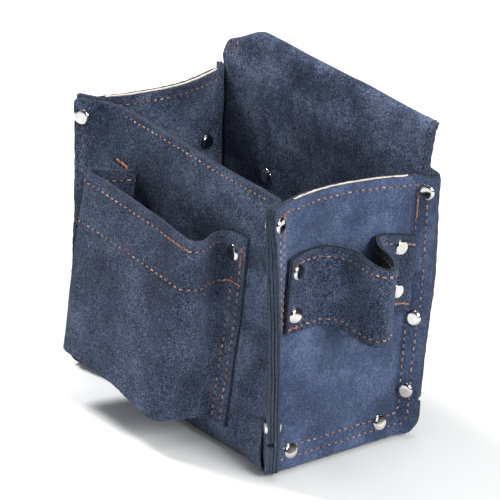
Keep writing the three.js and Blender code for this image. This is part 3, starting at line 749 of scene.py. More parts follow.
def side_point(side, height, depth, rim_drop=None):
    """A point of the side's mid surface: (point, normal, bump over the board).

    Below the crease, height runs down the bottom flange. Past either corner crease, depth runs
    along that corner's flange. With rim_drop, the point lies that far below the top edge.
    """
    at_rim = rim_drop is not None
    if at_rim:
        height = 160
    level = RIM_LEVEL if at_rim else max(height, CREASE_Z)
    end = FRONT if depth < 0 else BACK
    corner_y = wall_y(end, level)
    under, over = CREASE_Z - height, end * (depth - corner_y)
    if under > 0 and over > 0:  # the side's lower corners are cut round
        a, b = over / flange_width(end, side, level), under / SEAM_BOTTOM
        share = max(a, b) / max((a**3 + b**3) ** (1 / 3), 1e-9)
        share = lerp(1.0, share, min(1.0, max(a, b) * 1.4))
        over, under = over * share, under * share
    down, low_rise, low_turn = around_bend(under, 90 - SEAM_BOTTOM_ANGLE)
    run, end_rise, end_turn = around_bend(over, 90 - flange_angle(end, side, level))
    base_y, board_inset = corner_y, -1.0
    if not end_turn:
        base_y = depth
        board_inset = min(depth - wall_y(FRONT, level), wall_y(BACK, level) - depth)
    if at_rim:
        base_z = float(top_edge(side, max(-47, min(47, base_y)))) - rim_drop
    else:
        base_z = CREASE_Z if low_turn else height
    y = base_y + end * run
    rise = math.hypot(end_rise, low_rise)
    end_share, low_share = (end_rise / rise, low_rise / rise) if rise > 1e-6 else (0.0, 0.0)
    slope_y, slope_z = (float(slope) for slope in lean_slope(side, y, base_z))
    normal = np.array([
        1.0,
        slope_y - end * math.tan(end_turn) * end_share,
        slope_z + math.tan(low_turn) * low_share,
    ])
    normal /= np.linalg.norm(normal)
    normal[0] *= side
    x = float(crease_x(base_z - max(down, 0))) + rise - float(lean(side, y, base_z))
    board_inset = min(board_inset, base_z - CREASE_Z - down)
    point = np.array([side * x, y, base_z - down])
    return point, normal, SIDE_BUMP * float(ramp(0.6, 8.5, board_inset))


def side_grid(side):
    rows = [CREASE_Z - SEAM_BOTTOM + d for d in (0, 0.5, 1.5, 3, 5, 7, 9, 11.5, 14)]
    rows += [CREASE_Z + d for d in (-3.0, -1.6, -0.8, 0, 0.8, 1.6, 3.0)]
    rows += list(np.arange(24, 148, 2.6))
    rows = [(height, None) for height in rows]
    rows += [(None, rim_drop) for rim_drop in (12, 9, 6, 4, 2.4, 1.2, 0.5, 0)]
    front_flange = flange_width(FRONT, side, 0) - np.array([0, 0.5, 1.5, 3, 5, 7, 9])
    front_flange = front_flange[front_flange > 4.6]
    near = np.array([-4.2, -3.2, -2.2, -1.1, 0, 1.1, 2.2, 3.2, 4.2, 5.2])  # round a crease
    grid = []
    for height, rim_drop in rows:
        level = RIM_LEVEL if height is None else max(height, CREASE_Z)
        front, back = wall_y(FRONT, level), wall_y(BACK, level)
        shares = np.array([0.13, 0.28, 0.44, 0.6, 0.76, 0.88, 0.96, 1])
        back_flange = 4.2 + (flange_width(BACK, side, level) - 4.2) * shares
        depths = np.concatenate([
            front - front_flange, front + near, np.linspace(front + 6.5, back - 6.5, 36),
            back - near[::-1], back + back_flange,
        ])
        grid.append([side_point(side, height, float(depth), rim_drop) for depth in depths])
    return tuple(np.array([[cell[k] for cell in row] for row in grid]) for k in range(3))


# ---- curves in plan
def spline(points, counts):
    """Catmull-Rom through points (n, k); counts[i] samples in span i."""
    points = np.asarray(points, float)
    padded = np.concatenate([[2 * points[0] - points[1]], points, [2 * points[-1] - points[-2]]])
    out = []
    for i, count in enumerate(counts):
        p0, p1, p2, p3 = padded[i:i + 4]
        d1, d2, d3 = (
            max(np.linalg.norm(b - a), 1e-6) ** 0.5 for a, b in ((p0, p1), (p1, p2), (p2, p3))
        )
        slope1 = (p1 - p0) / d1 - (p2 - p0) / (d1 + d2) + (p2 - p1) / d2
        slope2 = (p2 - p1) / d2 - (p3 - p1) / (d2 + d3) + (p3 - p2) / d3
        for k in range(count):
            out.append(hermite_point(k / count, p1, p2, slope1 * d2, slope2 * d2))
    out.append(points[-1])
    return np.array(out)


def plan_normals(points):
    """Level normals on the right-hand side of a curve of points (n, 3), seen from above."""
    step = np.gradient(points, axis=0)
    return unit(np.stack([step[:, 1], -step[:, 0], np.zeros(len(points))], 1))


# tool loop: distance off the side's skin, y and z at its top edge, the same at its lower edge,
# and how closely it follows the side's lean (0 to 1)
LOOP = np.array([
    (1.9, -46.9, 133.6, 1.9, -47.2, 88, 1), (1.9, -40, 134.0, 1.9, -40, 88, 1),
    (1.9, -34, 134.2, 1.9, -34, 88, 1), (1.9, -25, 134, 1.9, -27.5, 88, 1),
    (2.8, -16.8, 133.8, 2.4, -23.6, 87.8, 0.9), (5.6, -10.2, 133.3, 5.8, -18, 87.6, 0.3),
    (12.1, -6.9, 133.2, 12.2, -14.6, 87.3, 0), (20.9, -8.1, 133.1, 21.4, -14.8, 87, 0),
    (28.8, -9.5, 133, 31, -15.8, 86.8, 0), (35.8, -9.6, 133, 37.2, -15.5, 86.7, 0),
    (40.4, -8, 133, 41.3, -13.8, 86.7, 0), (41.9, -5.2, 133, 43.2, -10.6, 86.7, 0),
    (41, -1.6, 133, 42.4, -7.2, 86.6, 0), (38, 1.4, 133, 38.8, -2.4, 86.5, 0),
    (34, 4.1, 133, 34.3, 1.3, 86.4, 0), (26.1, 7.7, 132.9, 26.5, 5, 86.2, 0),
    (18.5, 9.7, 132.8, 18.5, 8, 86, 0), (12, 11.2, 132.7, 12, 11, 85.7, 0),
    (6.6, 14.3, 132.7, 6.4, 14.4, 85.4, 0.3), (3.2, 17.6, 132.7, 3, 17.8, 85, 0.8),
    (2.1, 21.6, 132.6, 2.05, 21.5, 84.5, 1), (1.9, 25, 132.4, 1.9, 25, 84, 1),
    (1.9, 34, 130.5, 1.9, 34, 82.5, 1), (1.9, 46.4, 127.2, 1.9, 43.2, 80, 1),
])
LOOP_COUNTS = [4, 4, 5, 5, 4, 4, 5, 5, 5, 4, 4, 4, 4, 4, 5, 5, 4, 4, 4, 4, 4, 5, 7]
LOOP_HIGH = spline(LOOP[:, [0, 1, 2, 6]], LOOP_COUNTS)
LOOP_LOW = spline(LOOP[:, [3, 4, 5, 6]], LOOP_COUNTS)


def loop_row(side, fraction):
    """The loop band's middle surface at a fraction of its height, normals off its hollow."""
    reach = 47.2 if side == RIGHT else 45.2
    fraction = np.broadcast_to(np.asarray(fraction, float), (len(LOOP_HIGH),))[:, None]
    clear, y, z, hold = lerp(LOOP_LOW, LOOP_HIGH, fraction).T
    hold, y = clamp01(hold), np.clip(y, -reach, reach)
    panel, normal = panel_points(side, y, z)
    out_x = lerp(1.0, side * normal[:, 0], hold)
    out = unit(np.stack([out_x, normal[:, 1] * hold, normal[:, 2] * hold], 1))
    base = np.stack([lerp(crease_x(z), side * panel[:, 0], hold), y, z], 1)
    points = base + out * (SIDE_SKIN + clear)[:, None]
    normals = plan_normals(points)
    points[:, 0] *= side
    normals[:, 0] *= side
    return points, normals


def on_front(z):
    return front_y(z) - SKIN - GAP - LEATHER / 2


# pocket wall in plan, from its left flange round to its right one: x, y, z at the mouth and at
# the lower edge. A y of None lies on the front.
POCKET_TOP = [
    (-66.2, None, 139), (-56, None, 138.4), (-43, None, 139.2), (-40.6, -54.5, 142.6),
    (-44, -60.5, 142.4), (-51.6, -68.5, 142.2), (-57.4, -73.6, 142), (-55.2, -76.2, 142),
    (-42, -76.2, 141.5), (-16, -76.6, 140), (5, -77.4, 138.8), (24, -77.9, 137.4),
    (38, -78.6, 136.2), (44, -77.6, 135.4), (46.5, -73.5, 134.8), (44.5, -66.5, 134.2),
    (40, -58.5, 133.8), (39.2, -54.4, 133.6), (42.5, None, 134.6), (50, None, 137),
    (63.5, None, 137),
]
POCKET_LOW = [
    (-68.2, None, 30), (-61, None, 30), (-55, None, 30), (-53.2, -57.5, 30),
    (-57.2, -66, 30.6), (-60.8, -78, 31.6), (-62.2, -84.6, 31.8), (-59.6, -87.6, 30.4),
    (-44, -88.6, 29.2), (-20, -89.4, 29.2), (0, -89.6, 26.4), (14, -89.4, 23),
    (26, -89, 20.9), (31.4, -87.2, 20.2), (33.6, -79, 19.4), (35.5, -69, 18.6),
    (36, -60.5, 17.6), (36.6, -57.2, 17), (39.2, None, 16.4), (45, None, 16), (52.5, None, 16),
]
POCKET_COUNTS = [5, 5, 3, 4, 5, 5, 4, 6, 10, 10, 10, 8, 4, 4, 5, 5, 3, 3, 4, 7]
POCKET_BLEND = ((0, -0.055, 0.08), (0, -0.0755, 0.08))


def pocket_row(t):
    """The pocket wall at a fraction t of the way from its mouth to its lower edge."""
    outline = []
    for top, low in zip(POCKET_TOP, POCKET_LOW):
        z = lerp(top[2], low[2], t)
        top_y, low_y = (float(on_front(z)) if end[1] is None else end[1] for end in (top, low))
        outline.append((lerp(top[0], low[0], t), lerp(top_y, low_y, t), z))
    points = spline(outline, POCKET_COUNTS)
    # the walls belly out a little between mouth and bottom
    free = ramp(-56, -66, points[:, 1])[:, None]
    belly = free * 1.5 * math.sin(math.pi * clamp01(t)) ** 2
    points = points + plan_normals(points) * belly
    return points, plan_normals(points)


def row_arrays(rows):
    """Two arrays from a list of (point, normal) pairs or of (points, normals) rows."""
    points, normals = zip(*rows)
    return np.array(points, float), np.array(normals, float)


# ---- wrap
def build_wrap(points, normals):
    sheet("wrap_shell", points, normals, SHELL_MID, 31, SUEDE, ["outer_wrap"])
    sheet("wrap_lining_shell", points, normals, LINING_MID, 32, SUEDE_IN, ["wrap_lining"],
          slot="lining")


def build_corner(side, end):
    """The wrap's leather carried round from a corner flange into the bottom flange."""
    corner_y = wall_y(end, FOLD_TOP)
    width = flange_width(end, side, CREASE_Z)
    spread = np.array([0, 0.03, 0.08, 0.16, 0.26, 0.37, 0.48, 0.6, 0.72, 0.82, 0.9, 0.95, 0.98, 1])
    rows = []
    for turn in np.radians(np.linspace(2, 88, 19)):
        sine, cosine = math.sin(turn), math.cos(turn)
        far = min((width + FOLD) / cosine, (SEAM_BOTTOM + FOLD) / sine) - 0.1
        rows.append(row_arrays([
            side_point(side, FOLD_TOP - r * sine, corner_y + end * (r * cosine - FOLD))[:2]
            for r in lerp(FOLD + 2.0, far, spread)
        ]))
    points, normals = row_arrays(rows)
    tag = f"{SIDES[side]}_{ENDS[end]}"
    sheet(f"wrap_corner_{tag}", points, normals, -SHELL_MID, 33 + side + end, SUEDE, rough=0.1)
    sheet(f"lining_corner_{tag}", points, normals, -LINING_MID, 36 + side + end, SUEDE_IN,
          slot="lining", rough=0.1)


# rows of the wrap at each end: those on the wall, one in mid fold and one on the bottom
FOLD_ROWS = {FRONT: (range(0, 70), 74, 84), BACK: (range(126, 150), 121, 111)}


def build_fold(stations, wrap_points, side, end):
    """The fold drawn down into a corner's tip, so it closes there without a slit."""
    walls, mid_row, under_row = FOLD_ROWS[end]
    wall_row = min(walls, key=lambda k: abs(stations[k]["z"] - 36))
    inner, outer = 52.0, float(crease_x(CREASE_Z)) - 0.6
    across = side * wrap_points[mid_row, :, 0]
    cols = [j for j in range(len(across)) if inner - 4 <= across[j] <= outer + 0.8]
    cols.sort(key=lambda j: across[j])
    col_t = (across[cols] - inner) / (outer - inner)
    lane_t = np.linspace(0, 1, 26)

    def lane(row):
        return np.stack([np.interp(lane_t, col_t, wrap_points[row, cols, k]) for k in range(3)], 1)

    wall, middle, under = lane(wall_row), lane(mid_row), lane(under_row)
    tip_y = wall_y(end, CREASE_Z) + end * 0.52 * flange_width(end, side, CREASE_Z)
    point, normal, _ = side_point(side, CREASE_Z - 0.74 * SEAM_BOTTOM, tip_y)
    tip = point - normal * SHELL_MID
    aim = middle[0] + (tip - middle[0]) * lane_t[:, None]
    ridge = lerp(middle, aim, np.minimum(1.0, (lane_t**1.15)[:, None] * 1.6))
    hub = 2 * (ridge - 0.25 * (wall + under))
    u = np.linspace(0, 1, 19)[None, :, None]
    points = wall[:, None] * (1 - u) ** 2 + hub[:, None] * 2 * u * (1 - u) + under[:, None] * u**2
    normals = unit(np.cross(np.gradient(points, axis=0), np.gradient(points, axis=1)))
    away = np.array([0, end * 1.0, -1.0])
    normals = normals * np.where((normals @ away)[..., None] < 0, -1.0, 1.0)
    sheet(f"wrap_fold_{SIDES[side]}_{ENDS[end]}", points, normals, SHELL_MID - 0.35,
          38 + side + end, SUEDE, rough=0.05)


STATIONS = wrap_stations()
WRAP_POINTS, WRAP_NORMALS = row_arrays([wrap_row(station) for station in STATIONS])
build_wrap(WRAP_POINTS, WRAP_NORMALS)
for side in SIDES:
    for end in ENDS:
        build_corner(side, end)
for side in SIDES:
    for end in ENDS:
        build_fold(STATIONS, WRAP_POINTS, side, end)


# ---- sides
def build_side(side):
    name = SIDES[side]
    points, normals, bump = side_grid(side)
    # the side's outer leather takes the lighter copy of the suede: painted light
    sheet(f"{name}_side_shell", points, normals, SHELL_MID + bump, 41 + side, SUEDE_SIDE_LIT,
          [f"{name}_side_outer"])
    sheet(f"{name}_lining_shell", points, normals, LINING_MID, 44 + side, SUEDE_IN,
          [f"{name}_side_lining"], slot="lining")


def build_board(side):
    name = SIDES[side]
    inset = BOARD_INSET + 0.2
    rows = []
    # heights of zero and below are measured from the rim
    for z in list(np.linspace(CREASE_Z + 6.5, 152, 32)) + [-12.0, -8.0, -4.0, -1.5, 0.0]:
        level = RIM_LEVEL if z <= 0 else z
        y = np.linspace(wall_y(FRONT, level) + inset, wall_y(BACK, level) - inset, 44)
        rows.append(panel_points(side, y, top_edge(side, y) + 0.3 + z if z <= 0 else z))
    sheet(f"{name}_board", *row_arrays(rows), BOARD_MID, 47 + side, BOARD_MAT,
          [f"{name}_side_stiffener"], slot="board", thickness=BOARD, rough=0.1)


def build_loop(side):
    """Two thin layers, the outer one a touch shorter at both edges; the inner one is near black,
    painted shade for the hollow.
    """
    name = SIDES[side]
    fractions = [0, 0.010, 0.024, 0.045, 0.075] + list(np.linspace(0.12, 0.88, 15))
    fractions += [0.925, 0.955, 0.976, 0.99, 1.0]
    for layer, offset, low, high, seed, material, replaced in (
        ("outer", 0.68, 0.004, 0.992, 61, SUEDE_LOOP, [f"{name}_tool_loop"]),
        # the inner layer takes the near-black suede: painted shade of the hollow
        ("inner", -0.68, 0.0, 1.0, 51, SUEDE_HOLLOW_SHADE, ()),
    ):
        points, normals = row_arrays([loop_row(side, lerp(low, high, f)) for f in fractions])
        sheet(f"{name}_loop_{layer}", points, normals, offset, seed + side, material, replaced,
              thickness=LOOP_LAYER, rough=0.12)


for side in SIDES:
    build_side(side)
    build_board(side)
    build_loop(side)


# ---- pocket
def build_pocket_bottom():
    # front edge of the bottom: z, y
    front_edge = np.array([[33, -85.8], [30.8, -87.4], [28.2, -87.6], [24.6, -87.4], [22, -86.8]])
    knots, along = np.arange(5), np.linspace(0, 4, 40)
    z = hermite(knots, front_edge[:, 0], along)
    near_y = hermite(knots, front_edge[:, 1], along)
    far_y = on_front(z) - LEATHER / 2 - GAP
    rows = []
    for f in np.linspace(0, 1, 14):
        x = hermite(knots, [lerp(-59.4, -51.4, f), -20, 0, 14, lerp(29.8, 34.2, f)], along)
        rows.append(np.stack([x, lerp(near_y, far_y, f), z], 1))
    points = np.array(rows)
    normals = np.zeros_like(points)
    normals[..., 2] = 1
    sheet("pocket_bottom_shell", points, normals, 0.0, 63, SUEDE_POCKET, ["pocket_bottom"],
          blend=POCKET_BLEND)


pocket_steps = [0, 0.004, 0.01, 0.018] + list(np.linspace(0.03, 0.97, 42)) + [0.982, 0.992, 1.0]
POCKET_POINTS, POCKET_NORMALS = row_arrays([pocket_row(t) for t in pocket_steps])
sheet("pocket_shell", POCKET_POINTS, POCKET_NORMALS, 0.0, 61, SUEDE_POCKET,
      ["pocket_left_side", "pocket_right_side", "pocket_front"], blend=POCKET_BLEND)
build_pocket_bottom()


# ---- rivets
# a cap's profile: radius, height over the leather
RIVET_DOME = [
    (0, 1.50), (1.2, 1.49), (2.4, 1.45), (3.3, 1.37), (3.75, 1.27), (4.05, 1.10),
    (4.45, 0.72), (4.85, 0.30), (5.0, 0.02), (4.98, -0.22), (4.7, -0.34), (4.2, -0.28),
]


def ellipse(center, axis_a, axis_b, turns):
    return center + np.outer(np.cos(turns), axis_a) + np.outer(np.sin(turns), axis_b)


def rivet_axis(node):
    """Middle, direction and half length of a CAD rivet."""
    verts = np.array([v.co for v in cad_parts[node].data.vertices], float) / MM
    verts = np.unique(np.round(verts, 4), axis=0)
    middle = verts.mean(0)
    spread = verts - middle
    size, axes = np.linalg.eigh(spread.T @ spread)
    # the axis is the one whose size stands apart from the other two
    axis = axes[:, 0 if abs(size[1] - size[2]) < abs(size[1] - size[0]) else 2]
    along = spread @ axis
    return middle + axis * (along.max() + along.min()) / 2, axis, (along.max() - along.min()) / 2


def build_rivet(node):
    """Two domed caps with rolled rims, pressed a little into the leather, on one post."""
    middle, axis, half = rivet_axis(node)
    start, end = warp(np.array([middle - axis * (half - 1.6), middle + axis * (half - 1.6)]))
    middle, axis = (start + end) / 2, unit(end - start)
    grip = np.linalg.norm(end - start) / 2 - GAP - 0.12
    profile = [(r, grip + h) for r, h in RIVET_DOME] + [(1.5, grip - 0.1), (1.5, -grip + 0.1)]
    profile += [(r, -grip - h) for r, h in RIVET_DOME[::-1]]
    up = np.array([0, 0, 1.0]) if abs(axis[2]) < 0.9 else np.array([1.0, 0, 0])
    across = unit(np.cross(axis, up))
    other = np.cross(axis, across)
    count = 40
    turns = 2 * math.pi * np.arange(count) / count
    verts = [middle + axis * profile[0][1]]
    for r, h in profile[1:-1]:
        verts.extend(ellipse(middle + axis * h, across * r, other * r, turns))
    verts.append(middle + axis * profile[-1][1])
    ring = np.arange(count)
    following = (ring + 1) % count
    faces = [(0, 1 + a, 1 + b) for a, b in zip(ring, following)]
    for k in range(len(profile) - 3):
        base = 1 + k * count
        for a, b in zip(ring, following):
            faces.append((base + a, base + count + a, base + count + b, base + b))
    last = len(verts) - 1
    base = last - count
    faces += [(base + a, last, base + b) for a, b in zip(ring, following)]
    finish_piece(new_object(node + "_cap", verts, faces, 50), NICKEL, [node])


for node in sorted(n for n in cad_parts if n.startswith("rivet")):
    build_rivet(node)


# ---- stitches
PITCH, LIFT = 4.4, 0.16
THREAD_R, SHADE_THREAD_R = 0.37, 0.34
STITCH_SIDES, STITCH_RINGS = 8, 7
TURNS = 2 * math.pi * np.arange(STITCH_SIDES) / STITCH_SIDES


def add_tube(verts, faces, rings):
    base, sides = len(verts), STITCH_SIDES
    for ring in rings:
        verts.extend(ring)
    for k in range(len(rings) - 1):
        row = base + k * sides
        for a in range(sides):
            b = (a + 1) % sides
            faces.append((row + a, row + b, row + sides + b, row + sides + a))
    faces.append(range(base + sides - 1, base - 1, -1))
    faces.append(range(len(verts) - sides, len(verts)))


def stitches(name, rows, seed, radius=THREAD_R, length=3.0, material=THREAD, blend=None):
    """Lock stitches along rows of (points, normals): arched threads between two dark discs, painted
    shade for the needle holes.
    """
    rng = np.random.RandomState(seed)
    verts, faces, slots = [], [], []
    for raw_points, raw_normals in rows:
        points = warp(raw_points)
        normals = unit(warp(raw_points + raw_normals) - points)
        steps = np.linalg.norm(np.diff(points, axis=0), axis=1)
        travel = np.concatenate([[0], np.cumsum(steps)])
        count = max(1, int(round(travel[-1] / PITCH)))
        reach = length * min(1.12, travel[-1] / count / PITCH) / 2

        def at(where, curve):
            return np.array([np.interp(where, travel, curve[:, k]) for k in range(3)])

        for middle in (np.arange(count) + 0.5) * travel[-1] / count:
            chord = at(middle + reach, points) - at(middle - reach, points)
            out = unit(at(middle, normals))
            along = unit(chord)
            out = unit(out - along * (out @ along))
            skew = rng.normal(0, 0.075)
            along = along * math.cos(skew) + np.cross(out, along) * math.sin(skew)
            across = np.cross(out, along)
            center = at(middle, points) + across * rng.normal(0, 0.13)
            half = np.linalg.norm(chord) / 2 * (1 + rng.normal(0, 0.06))
            thread = radius * (1 + rng.normal(0, 0.07))
            face_count = len(faces)
            rings = []
            for k in range(STITCH_RINGS):
                s = -1 + 2 * k / (STITCH_RINGS - 1)
                r = thread * (0.55 + 0.45 * math.sqrt(max(0, 1 - abs(s) ** 3)))
                spot = center + along * half * s + out * (LIFT - 0.58 * abs(s) ** 2.6)
                rings.append(ellipse(spot, across * (r * 1.12), out * (r * 0.88), TURNS + s * 0.9))
            add_tube(verts, faces, rings)
            slots += [0] * (len(faces) - face_count)
            # dark discs at both ends of the thread: painted shade of the pricked holes
            face_count = len(faces)
            for end in (-1, 1):
                spot = center + along * (half + 0.12) * end + out * 0.035
                add_tube(verts, faces, [
                    ellipse(spot - out * 0.12, along * 0.50, across * 0.42, TURNS),
                    ellipse(spot, along * 0.38, across * 0.30, TURNS),
                ])
            slots += [1] * (len(faces) - face_count)
    obj = new_object(name, verts, faces)
    finish_piece(obj, material, blend=blend)
    obj.data.materials.append(HOLE_SHADE)
    # guards against faces dropped when the mesh was validated
    if len(obj.data.polygons) == len(slots):
        obj.data.polygons.foreach_set("material_index", slots)


def sewn_over(row, count, spread, seed):
    """The same row sewn several times, as at a start or a back tack."""
    rng = np.random.RandomState(seed)
    points, normals = row[0], unit(row[1])
    along = unit(np.gradient(points, axis=0))
    across = np.cross(normals, along)
    out = []
    for k in range(count):
        aside = across * (0.6 * spread * (k - (count - 1) / 2))
        out.append((points + aside + along * rng.uniform(-1.2, 1.2), normals))
    return out


def wrap_face(station, reach, outer=True):
    """Point and outward normal on the wrap. reach is the distance from the middle, + to the
    right, and runs on past a crease along its flange."""
    side = RIGHT if reach > 0 else LEFT
    edge = station["edges"][side]
    angle, _, tangent = bend_of(edge)
    x, beyond = abs(reach), abs(reach) - edge["x"]
    if x <= edge["x"] - tangent:
        column = (side * x, 0.0, 0.0, 1.0)
    elif x < edge["x"] + tangent:
        column = bend_column(edge, side, angle * (beyond + tangent) / (2 * tangent))
    else:
        column = flange_column(edge, side, beyond)
    (point,), (normal,) = place(station, [column])
    return point + normal * (SKIN if outer else INNER_FACE), normal if outer else -normal


def front_row(below, outer=True):
    station = wall_station(FRONT, FRONT_TOP - below)
    return row_arrays([wrap_face(station, reach, outer) for reach in np.linspace(-66, 76, 60)])


def wrap_seam_row(end, side, inset, low, high):
    return row_arrays([
        wrap_face(wall_station(end, z), side * (float(crease_x(z)) + inset))
        for z in np.arange(low, high, 2.0)
    ])


def side_row(side, places, outer=True, from_rim=False):
    """places: (height, depth) pairs, or (drop below the top edge, depth) when from_rim."""
    pairs = []
    for z, depth in places:
        height, rim_drop = (None, z) if from_rim else (z, None)
        point, normal, bump = side_point(side, height, depth, rim_drop)
        offset = SKIN + bump if outer else INNER_FACE
        pairs.append((point + normal * offset, normal if outer else -normal))
    return row_arrays(pairs)


def side_seam_row(side, end, inset, low, high):
    return side_row(side, [(z, wall_y(end, z) + end * inset) for z in np.arange(low, high, 2.0)])


def stitch_seams(side):
    # rows near the front corner take the darker thread: painted shade
    rows, shaded_rows = [], []
    front, back = wall_y(FRONT, 18), wall_y(BACK, 18)
    for inset, low_inset in SEAM_ROWS:
        near = inset < 5
        shaded_rows.append(wrap_seam_row(FRONT, side, inset, 26, 163))
        rows.append(wrap_seam_row(BACK, side, inset, 26, 156))
        rows.append(side_seam_row(side, FRONT, inset, 92, 164))
        shaded_rows.append(side_seam_row(side, FRONT, inset, 26, 90))
        rows.append(side_seam_row(side, BACK, inset, 15 if near else 8, 157))
        ys = np.arange(front + (1 if near else -6), back + inset - 0.5, 2.0)
        rows.append(side_row(side, [(CREASE_Z - low_inset, y) for y in ys]))
        reach = side * (float(crease_x(CREASE_Z)) + low_inset)
        ys = np.arange(front + 3, back - 2, 2.0)
        rows.append(row_arrays([wrap_face(bottom_station(y), reach) for y in ys]))
    stitches(f"stitch_{SIDES[side]}_seams", rows, 80 + side)
    stitches(f"stitch_{SIDES[side]}_front_painted_shade", shaded_rows, 83, radius=SHADE_THREAD_R, material=THREAD_SHADE)


def stitch_rim(side):
    """Sews the rim's rows; returns the bar across the back seam and the corner tacks."""
    outside = [(5.5, y) for y in np.arange(-46, HALF_D + 11, 1.5)]
    inside = [(5.5, y) for y in np.arange(-44, 45, 1.5)]
    stitches(f"stitch_{SIDES[side]}_top", [
        side_row(side, outside, from_rim=True),
        side_row(side, inside, outer=False, from_rim=True),
    ], 84 + side)
    bar = [(float(d), HALF_D + 8.4) for d in np.linspace(5.0, 11.0, 5)]
    heavy = sewn_over(side_row(side, bar, from_rim=True), 2, 0.7, 3)
    start = [(5.5, float(y)) for y in np.linspace(-58, -47, 6)]
    heavy += sewn_over(side_row(side, start, from_rim=True), 2, 0.6, 4)
    inset = SEAM_ROWS[0][0]
    for y, low, high in ((wall_y(FRONT, 150) - inset, 146, 163), (HALF_D + inset, 137, 153)):
        tack = side_row(side, [(float(z), y) for z in np.linspace(low, high, 9)])
        heavy += sewn_over(tack, 2, 0.55, 5)
    return heavy


def stitch_loop(side):
    """Sews the tool loop's edges; returns the tacks at its ends."""
    rows, inner, heavy = [], [], []
    along = np.linspace(0, 1, len(LOOP_HIGH))
    for low, insets in ((False, (5.4, 5.4, 3.9, 5.3)), (True, (3.0, 5.2, 4.2, 4.6))):
        fraction = np.interp(along, [0, 0.3, 0.45, 1.0], insets) / 46.0
        points, normals = loop_row(side, fraction if low else 1 - fraction)
        face = points + normals * LOOP_THICK / 2
        rows.append((face, normals))
        inner.append((points - normals * LOOP_THICK / 2, -normals))
        # sewn through to the side at both ends
        heavy += sewn_over((face[-9:-2], normals[-9:-2]), 2 if low else 1, 0.7, 6)
        heavy += sewn_over((face[1:6], normals[1:6]), 2, 0.6, 7)
    stitches(f"stitch_{SIDES[side]}_loop", rows, 88 + side)
    # the hollow's inner rows take the darker thread: painted shade
    stitches(f"stitch_{SIDES[side]}_loop_inner", inner, 90 + side, material=THREAD_SHADE)
    return heavy


def pocket_line(depth, first, last, inside=False):
    """A row depth mm below the pocket's top edge, between plan samples first and last."""
    face = -1 if inside else 1
    pairs = []
    for k in range(first, last):
        t = depth / (POCKET_POINTS[0, k, 2] - POCKET_POINTS[-1, k, 2])
        points, normals = pocket_row(t)
        pairs.append((points[k] + normals[k] * (LEATHER / 2) * face, normals[k] * face))
    return row_arrays(pairs)


def pocket_flange(inset, side, low, high):
    """A row up one of the pocket's flanges, inset from its outer edge."""
    column = -1 if side == RIGHT else 0
    top, bottom = POCKET_TOP[column], POCKET_LOW[column]
    pairs = []
    for z in np.arange(low, high, 2.0):
        x = lerp(top[0], bottom[0], (top[2] - z) / (top[2] - bottom[2])) - side * inset
        pairs.append(((x, float(on_front(z)) - LEATHER / 2, z), (0, -1, 0)))
    return row_arrays(pairs)


def stitch_pocket():
    knots = np.concatenate([[0], np.cumsum(POCKET_COUNTS)])
    mouth, low = 6.5, 30.5  # depths of the rows below the mouth
    stitches("stitch_pocket", [
        pocket_line(mouth, knots[2] + 1, knots[18]),
        pocket_line(low, knots[3], knots[20]),
        pocket_line(mouth, knots[2] + 1, knots[18], inside=True),
        pocket_flange(4.2, RIGHT, 19, 127),
        pocket_flange(11.0, RIGHT, 19, 112),
        pocket_flange(4.2, LEFT, 33, 133),
        pocket_flange(10.6, LEFT, 33, 118),
    ], 93, blend=POCKET_BLEND)
    left_top = row_arrays([
        ((x, -51.7, z), (0, -1, 0)) for x, z in ((-61.0, 141.1), (-55, 140.4), (-49.5, 139.5))
    ])
    tacks = []
    # row, times sewn, spread, seed
    for tack in (
        (pocket_line(mouth, knots[5], knots[7] + 1), 2, 0.7, 8),
        (pocket_line(low, knots[18], knots[20] - 1), 2, 0.9, 9),
        (pocket_line(mouth, knots[11] + 1, knots[13] + 2), 2, 0.6, 10),
        (left_top, 3, 0.9, 13),
        (pocket_flange(4.2, RIGHT, 118, 134), 2, 0.7, 11),
        (pocket_flange(4.2, LEFT, 118, 134), 2, 0.7, 12),
    ):
        tacks += sewn_over(*tack)
    stitches("stitch_pocket_tacks", tacks, 95, length=3.9, blend=POCKET_BLEND, material=TACK)


def stitch_roll():
    """Two rows over each end of the back's roll, outside and inside."""
    roll = [
        st for st in STATIONS[-90:] if st["z"] > 104 and (st["y"] > 47.6 or st["z"] > 162)
    ]
    rows = {RIGHT: [], LEFT: []}
    for side in SIDES:
        for inset in (3.6, 9.6):
            faces = {True: [], False: []}
            for station in roll:
                skipped = station["z"] < 174 if side == LEFT else inset > 5
                if station["y"] < 56 and skipped:
                    continue
                edge = station["edges"][side]
                for outer, pairs in faces.items():
                    reach = side * (edge["x"] + edge["width"] - inset)
                    pairs.append(wrap_face(station, reach, outer))
            rows[side] += [row_arrays(pairs) for pairs in faces.values()]
    stitches("stitch_tunnel", rows[LEFT], 97)
    # the right end's rows take the darker, shade-painted thread
    stitches("stitch_tunnel_dim", rows[RIGHT], 98, radius=SHADE_THREAD_R, material=THREAD_SHADE)


stitches("stitch_front_top", [front_row(3.3), front_row(3.6, outer=False)], 71)
for side in SIDES:
    stitch_seams(side)
    heavy = stitch_rim(side) + stitch_loop(side)
    stitches(f"stitch_{SIDES[side]}_tacks", heavy, 101 + side, length=3.9, material=TACK)
stitch_pocket()
stitch_roll()


# ---- stage, light, camera (metres)
def build_floor():
    material, nodes = new_material("floor")
    nodes.surface({"Base Color": (0.93, 0.93, 0.93, 1), "Roughness": 0.9})
    bpy.ops.mesh.primitive_plane_add(size=40, location=(0, 0, -0.0005))
    floor = bpy.context.object
    floor.name = "floor"
    floor.data.materials.append(material)


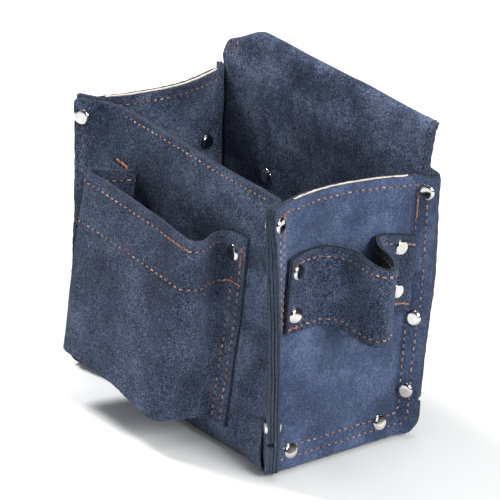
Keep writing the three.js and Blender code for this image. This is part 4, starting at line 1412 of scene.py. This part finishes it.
def area_light(name, location, size, power):
    light = bpy.data.lights.new(name, "AREA")
    light.energy, light.size, light.color = power, size, (1, 1, 1)
    obj = bpy.data.objects.new(name, light)
    obj.location = location
    aim = Vector((0, 0, 0.09)) - Vector(location)
    obj.rotation_euler = aim.to_track_quat("-Z", "Y").to_euler()
    bpy.context.scene.collection.objects.link(obj)


def build_world():
    """Mirror-like metal sees a darker room with a pale floor; all else sees an even pale dome."""
    world = bpy.data.worlds.new("studio")
    bpy.context.scene.world = world
    world.use_nodes = True
    nodes = Nodes(world.node_tree)
    background = world.node_tree.nodes["Background"]
    path = nodes.node("ShaderNodeLightPath")
    direction = nodes.node("ShaderNodeTexCoord").outputs["Generated"]
    height = nodes.node("ShaderNodeSeparateXYZ", {0: direction}).outputs["Z"]
    room = nodes.colours(nodes.remap(height, source=(-1.0, 1.0), target=(0.0, 1.0)), [
        (0.30, (0.85, 0.85, 0.85, 1)), (0.52, (0.62, 0.62, 0.63, 1)),
        (0.60, (0.10, 0.10, 0.11, 1)), (0.80, (0.04, 0.04, 0.05, 1)),
        (0.92, (0.6, 0.6, 0.6, 1)),
    ])
    glossy = nodes.math("MULTIPLY", path.outputs["Is Glossy Ray"], 1.0)
    nodes.set(background, "Color", nodes.mix(glossy, (1.0, 1.0, 1.0, 1), room))
    background.inputs["Strength"].default_value = 0.36


def build_camera():
    data = bpy.data.cameras.new("camera")
    data.sensor_width = 36.0
    data.lens = 412.128
    data.clip_end = 20
    camera = bpy.data.objects.new("camera", data)
    # columns of the camera's matrix: its right, up and back directions, and its place
    camera.matrix_world = Matrix((
        (0.6130672755400212, 0.7892676183165087, 0.034715160073398664, 0),
        (-0.3424809332695178, 0.22591199734412304, 0.9119597468105867, 0),
        (0.7119377262154155, -0.5709819577998722, 0.40880836324401343, 0),
        (2.3600892121515455, -1.8926026569680041, 1.4489172608949246, 1),
    )).transposed()
    bpy.context.scene.collection.objects.link(camera)
    bpy.context.scene.camera = camera


build_floor()
area_light("left_box", (-1.15, -0.35, 1.75), size=0.55, power=41)
area_light("right_box", (1.9, 0.1, 1.15), size=0.9, power=41)
area_light("top_box", (0.1, 0.2, 2.3), size=1.0, power=12)
area_light("front_fill", (-0.3, -2.2, 0.9), size=1.2, power=3)
build_world()
bpy.context.scene.view_settings.view_transform = "Standard"
build_camera()
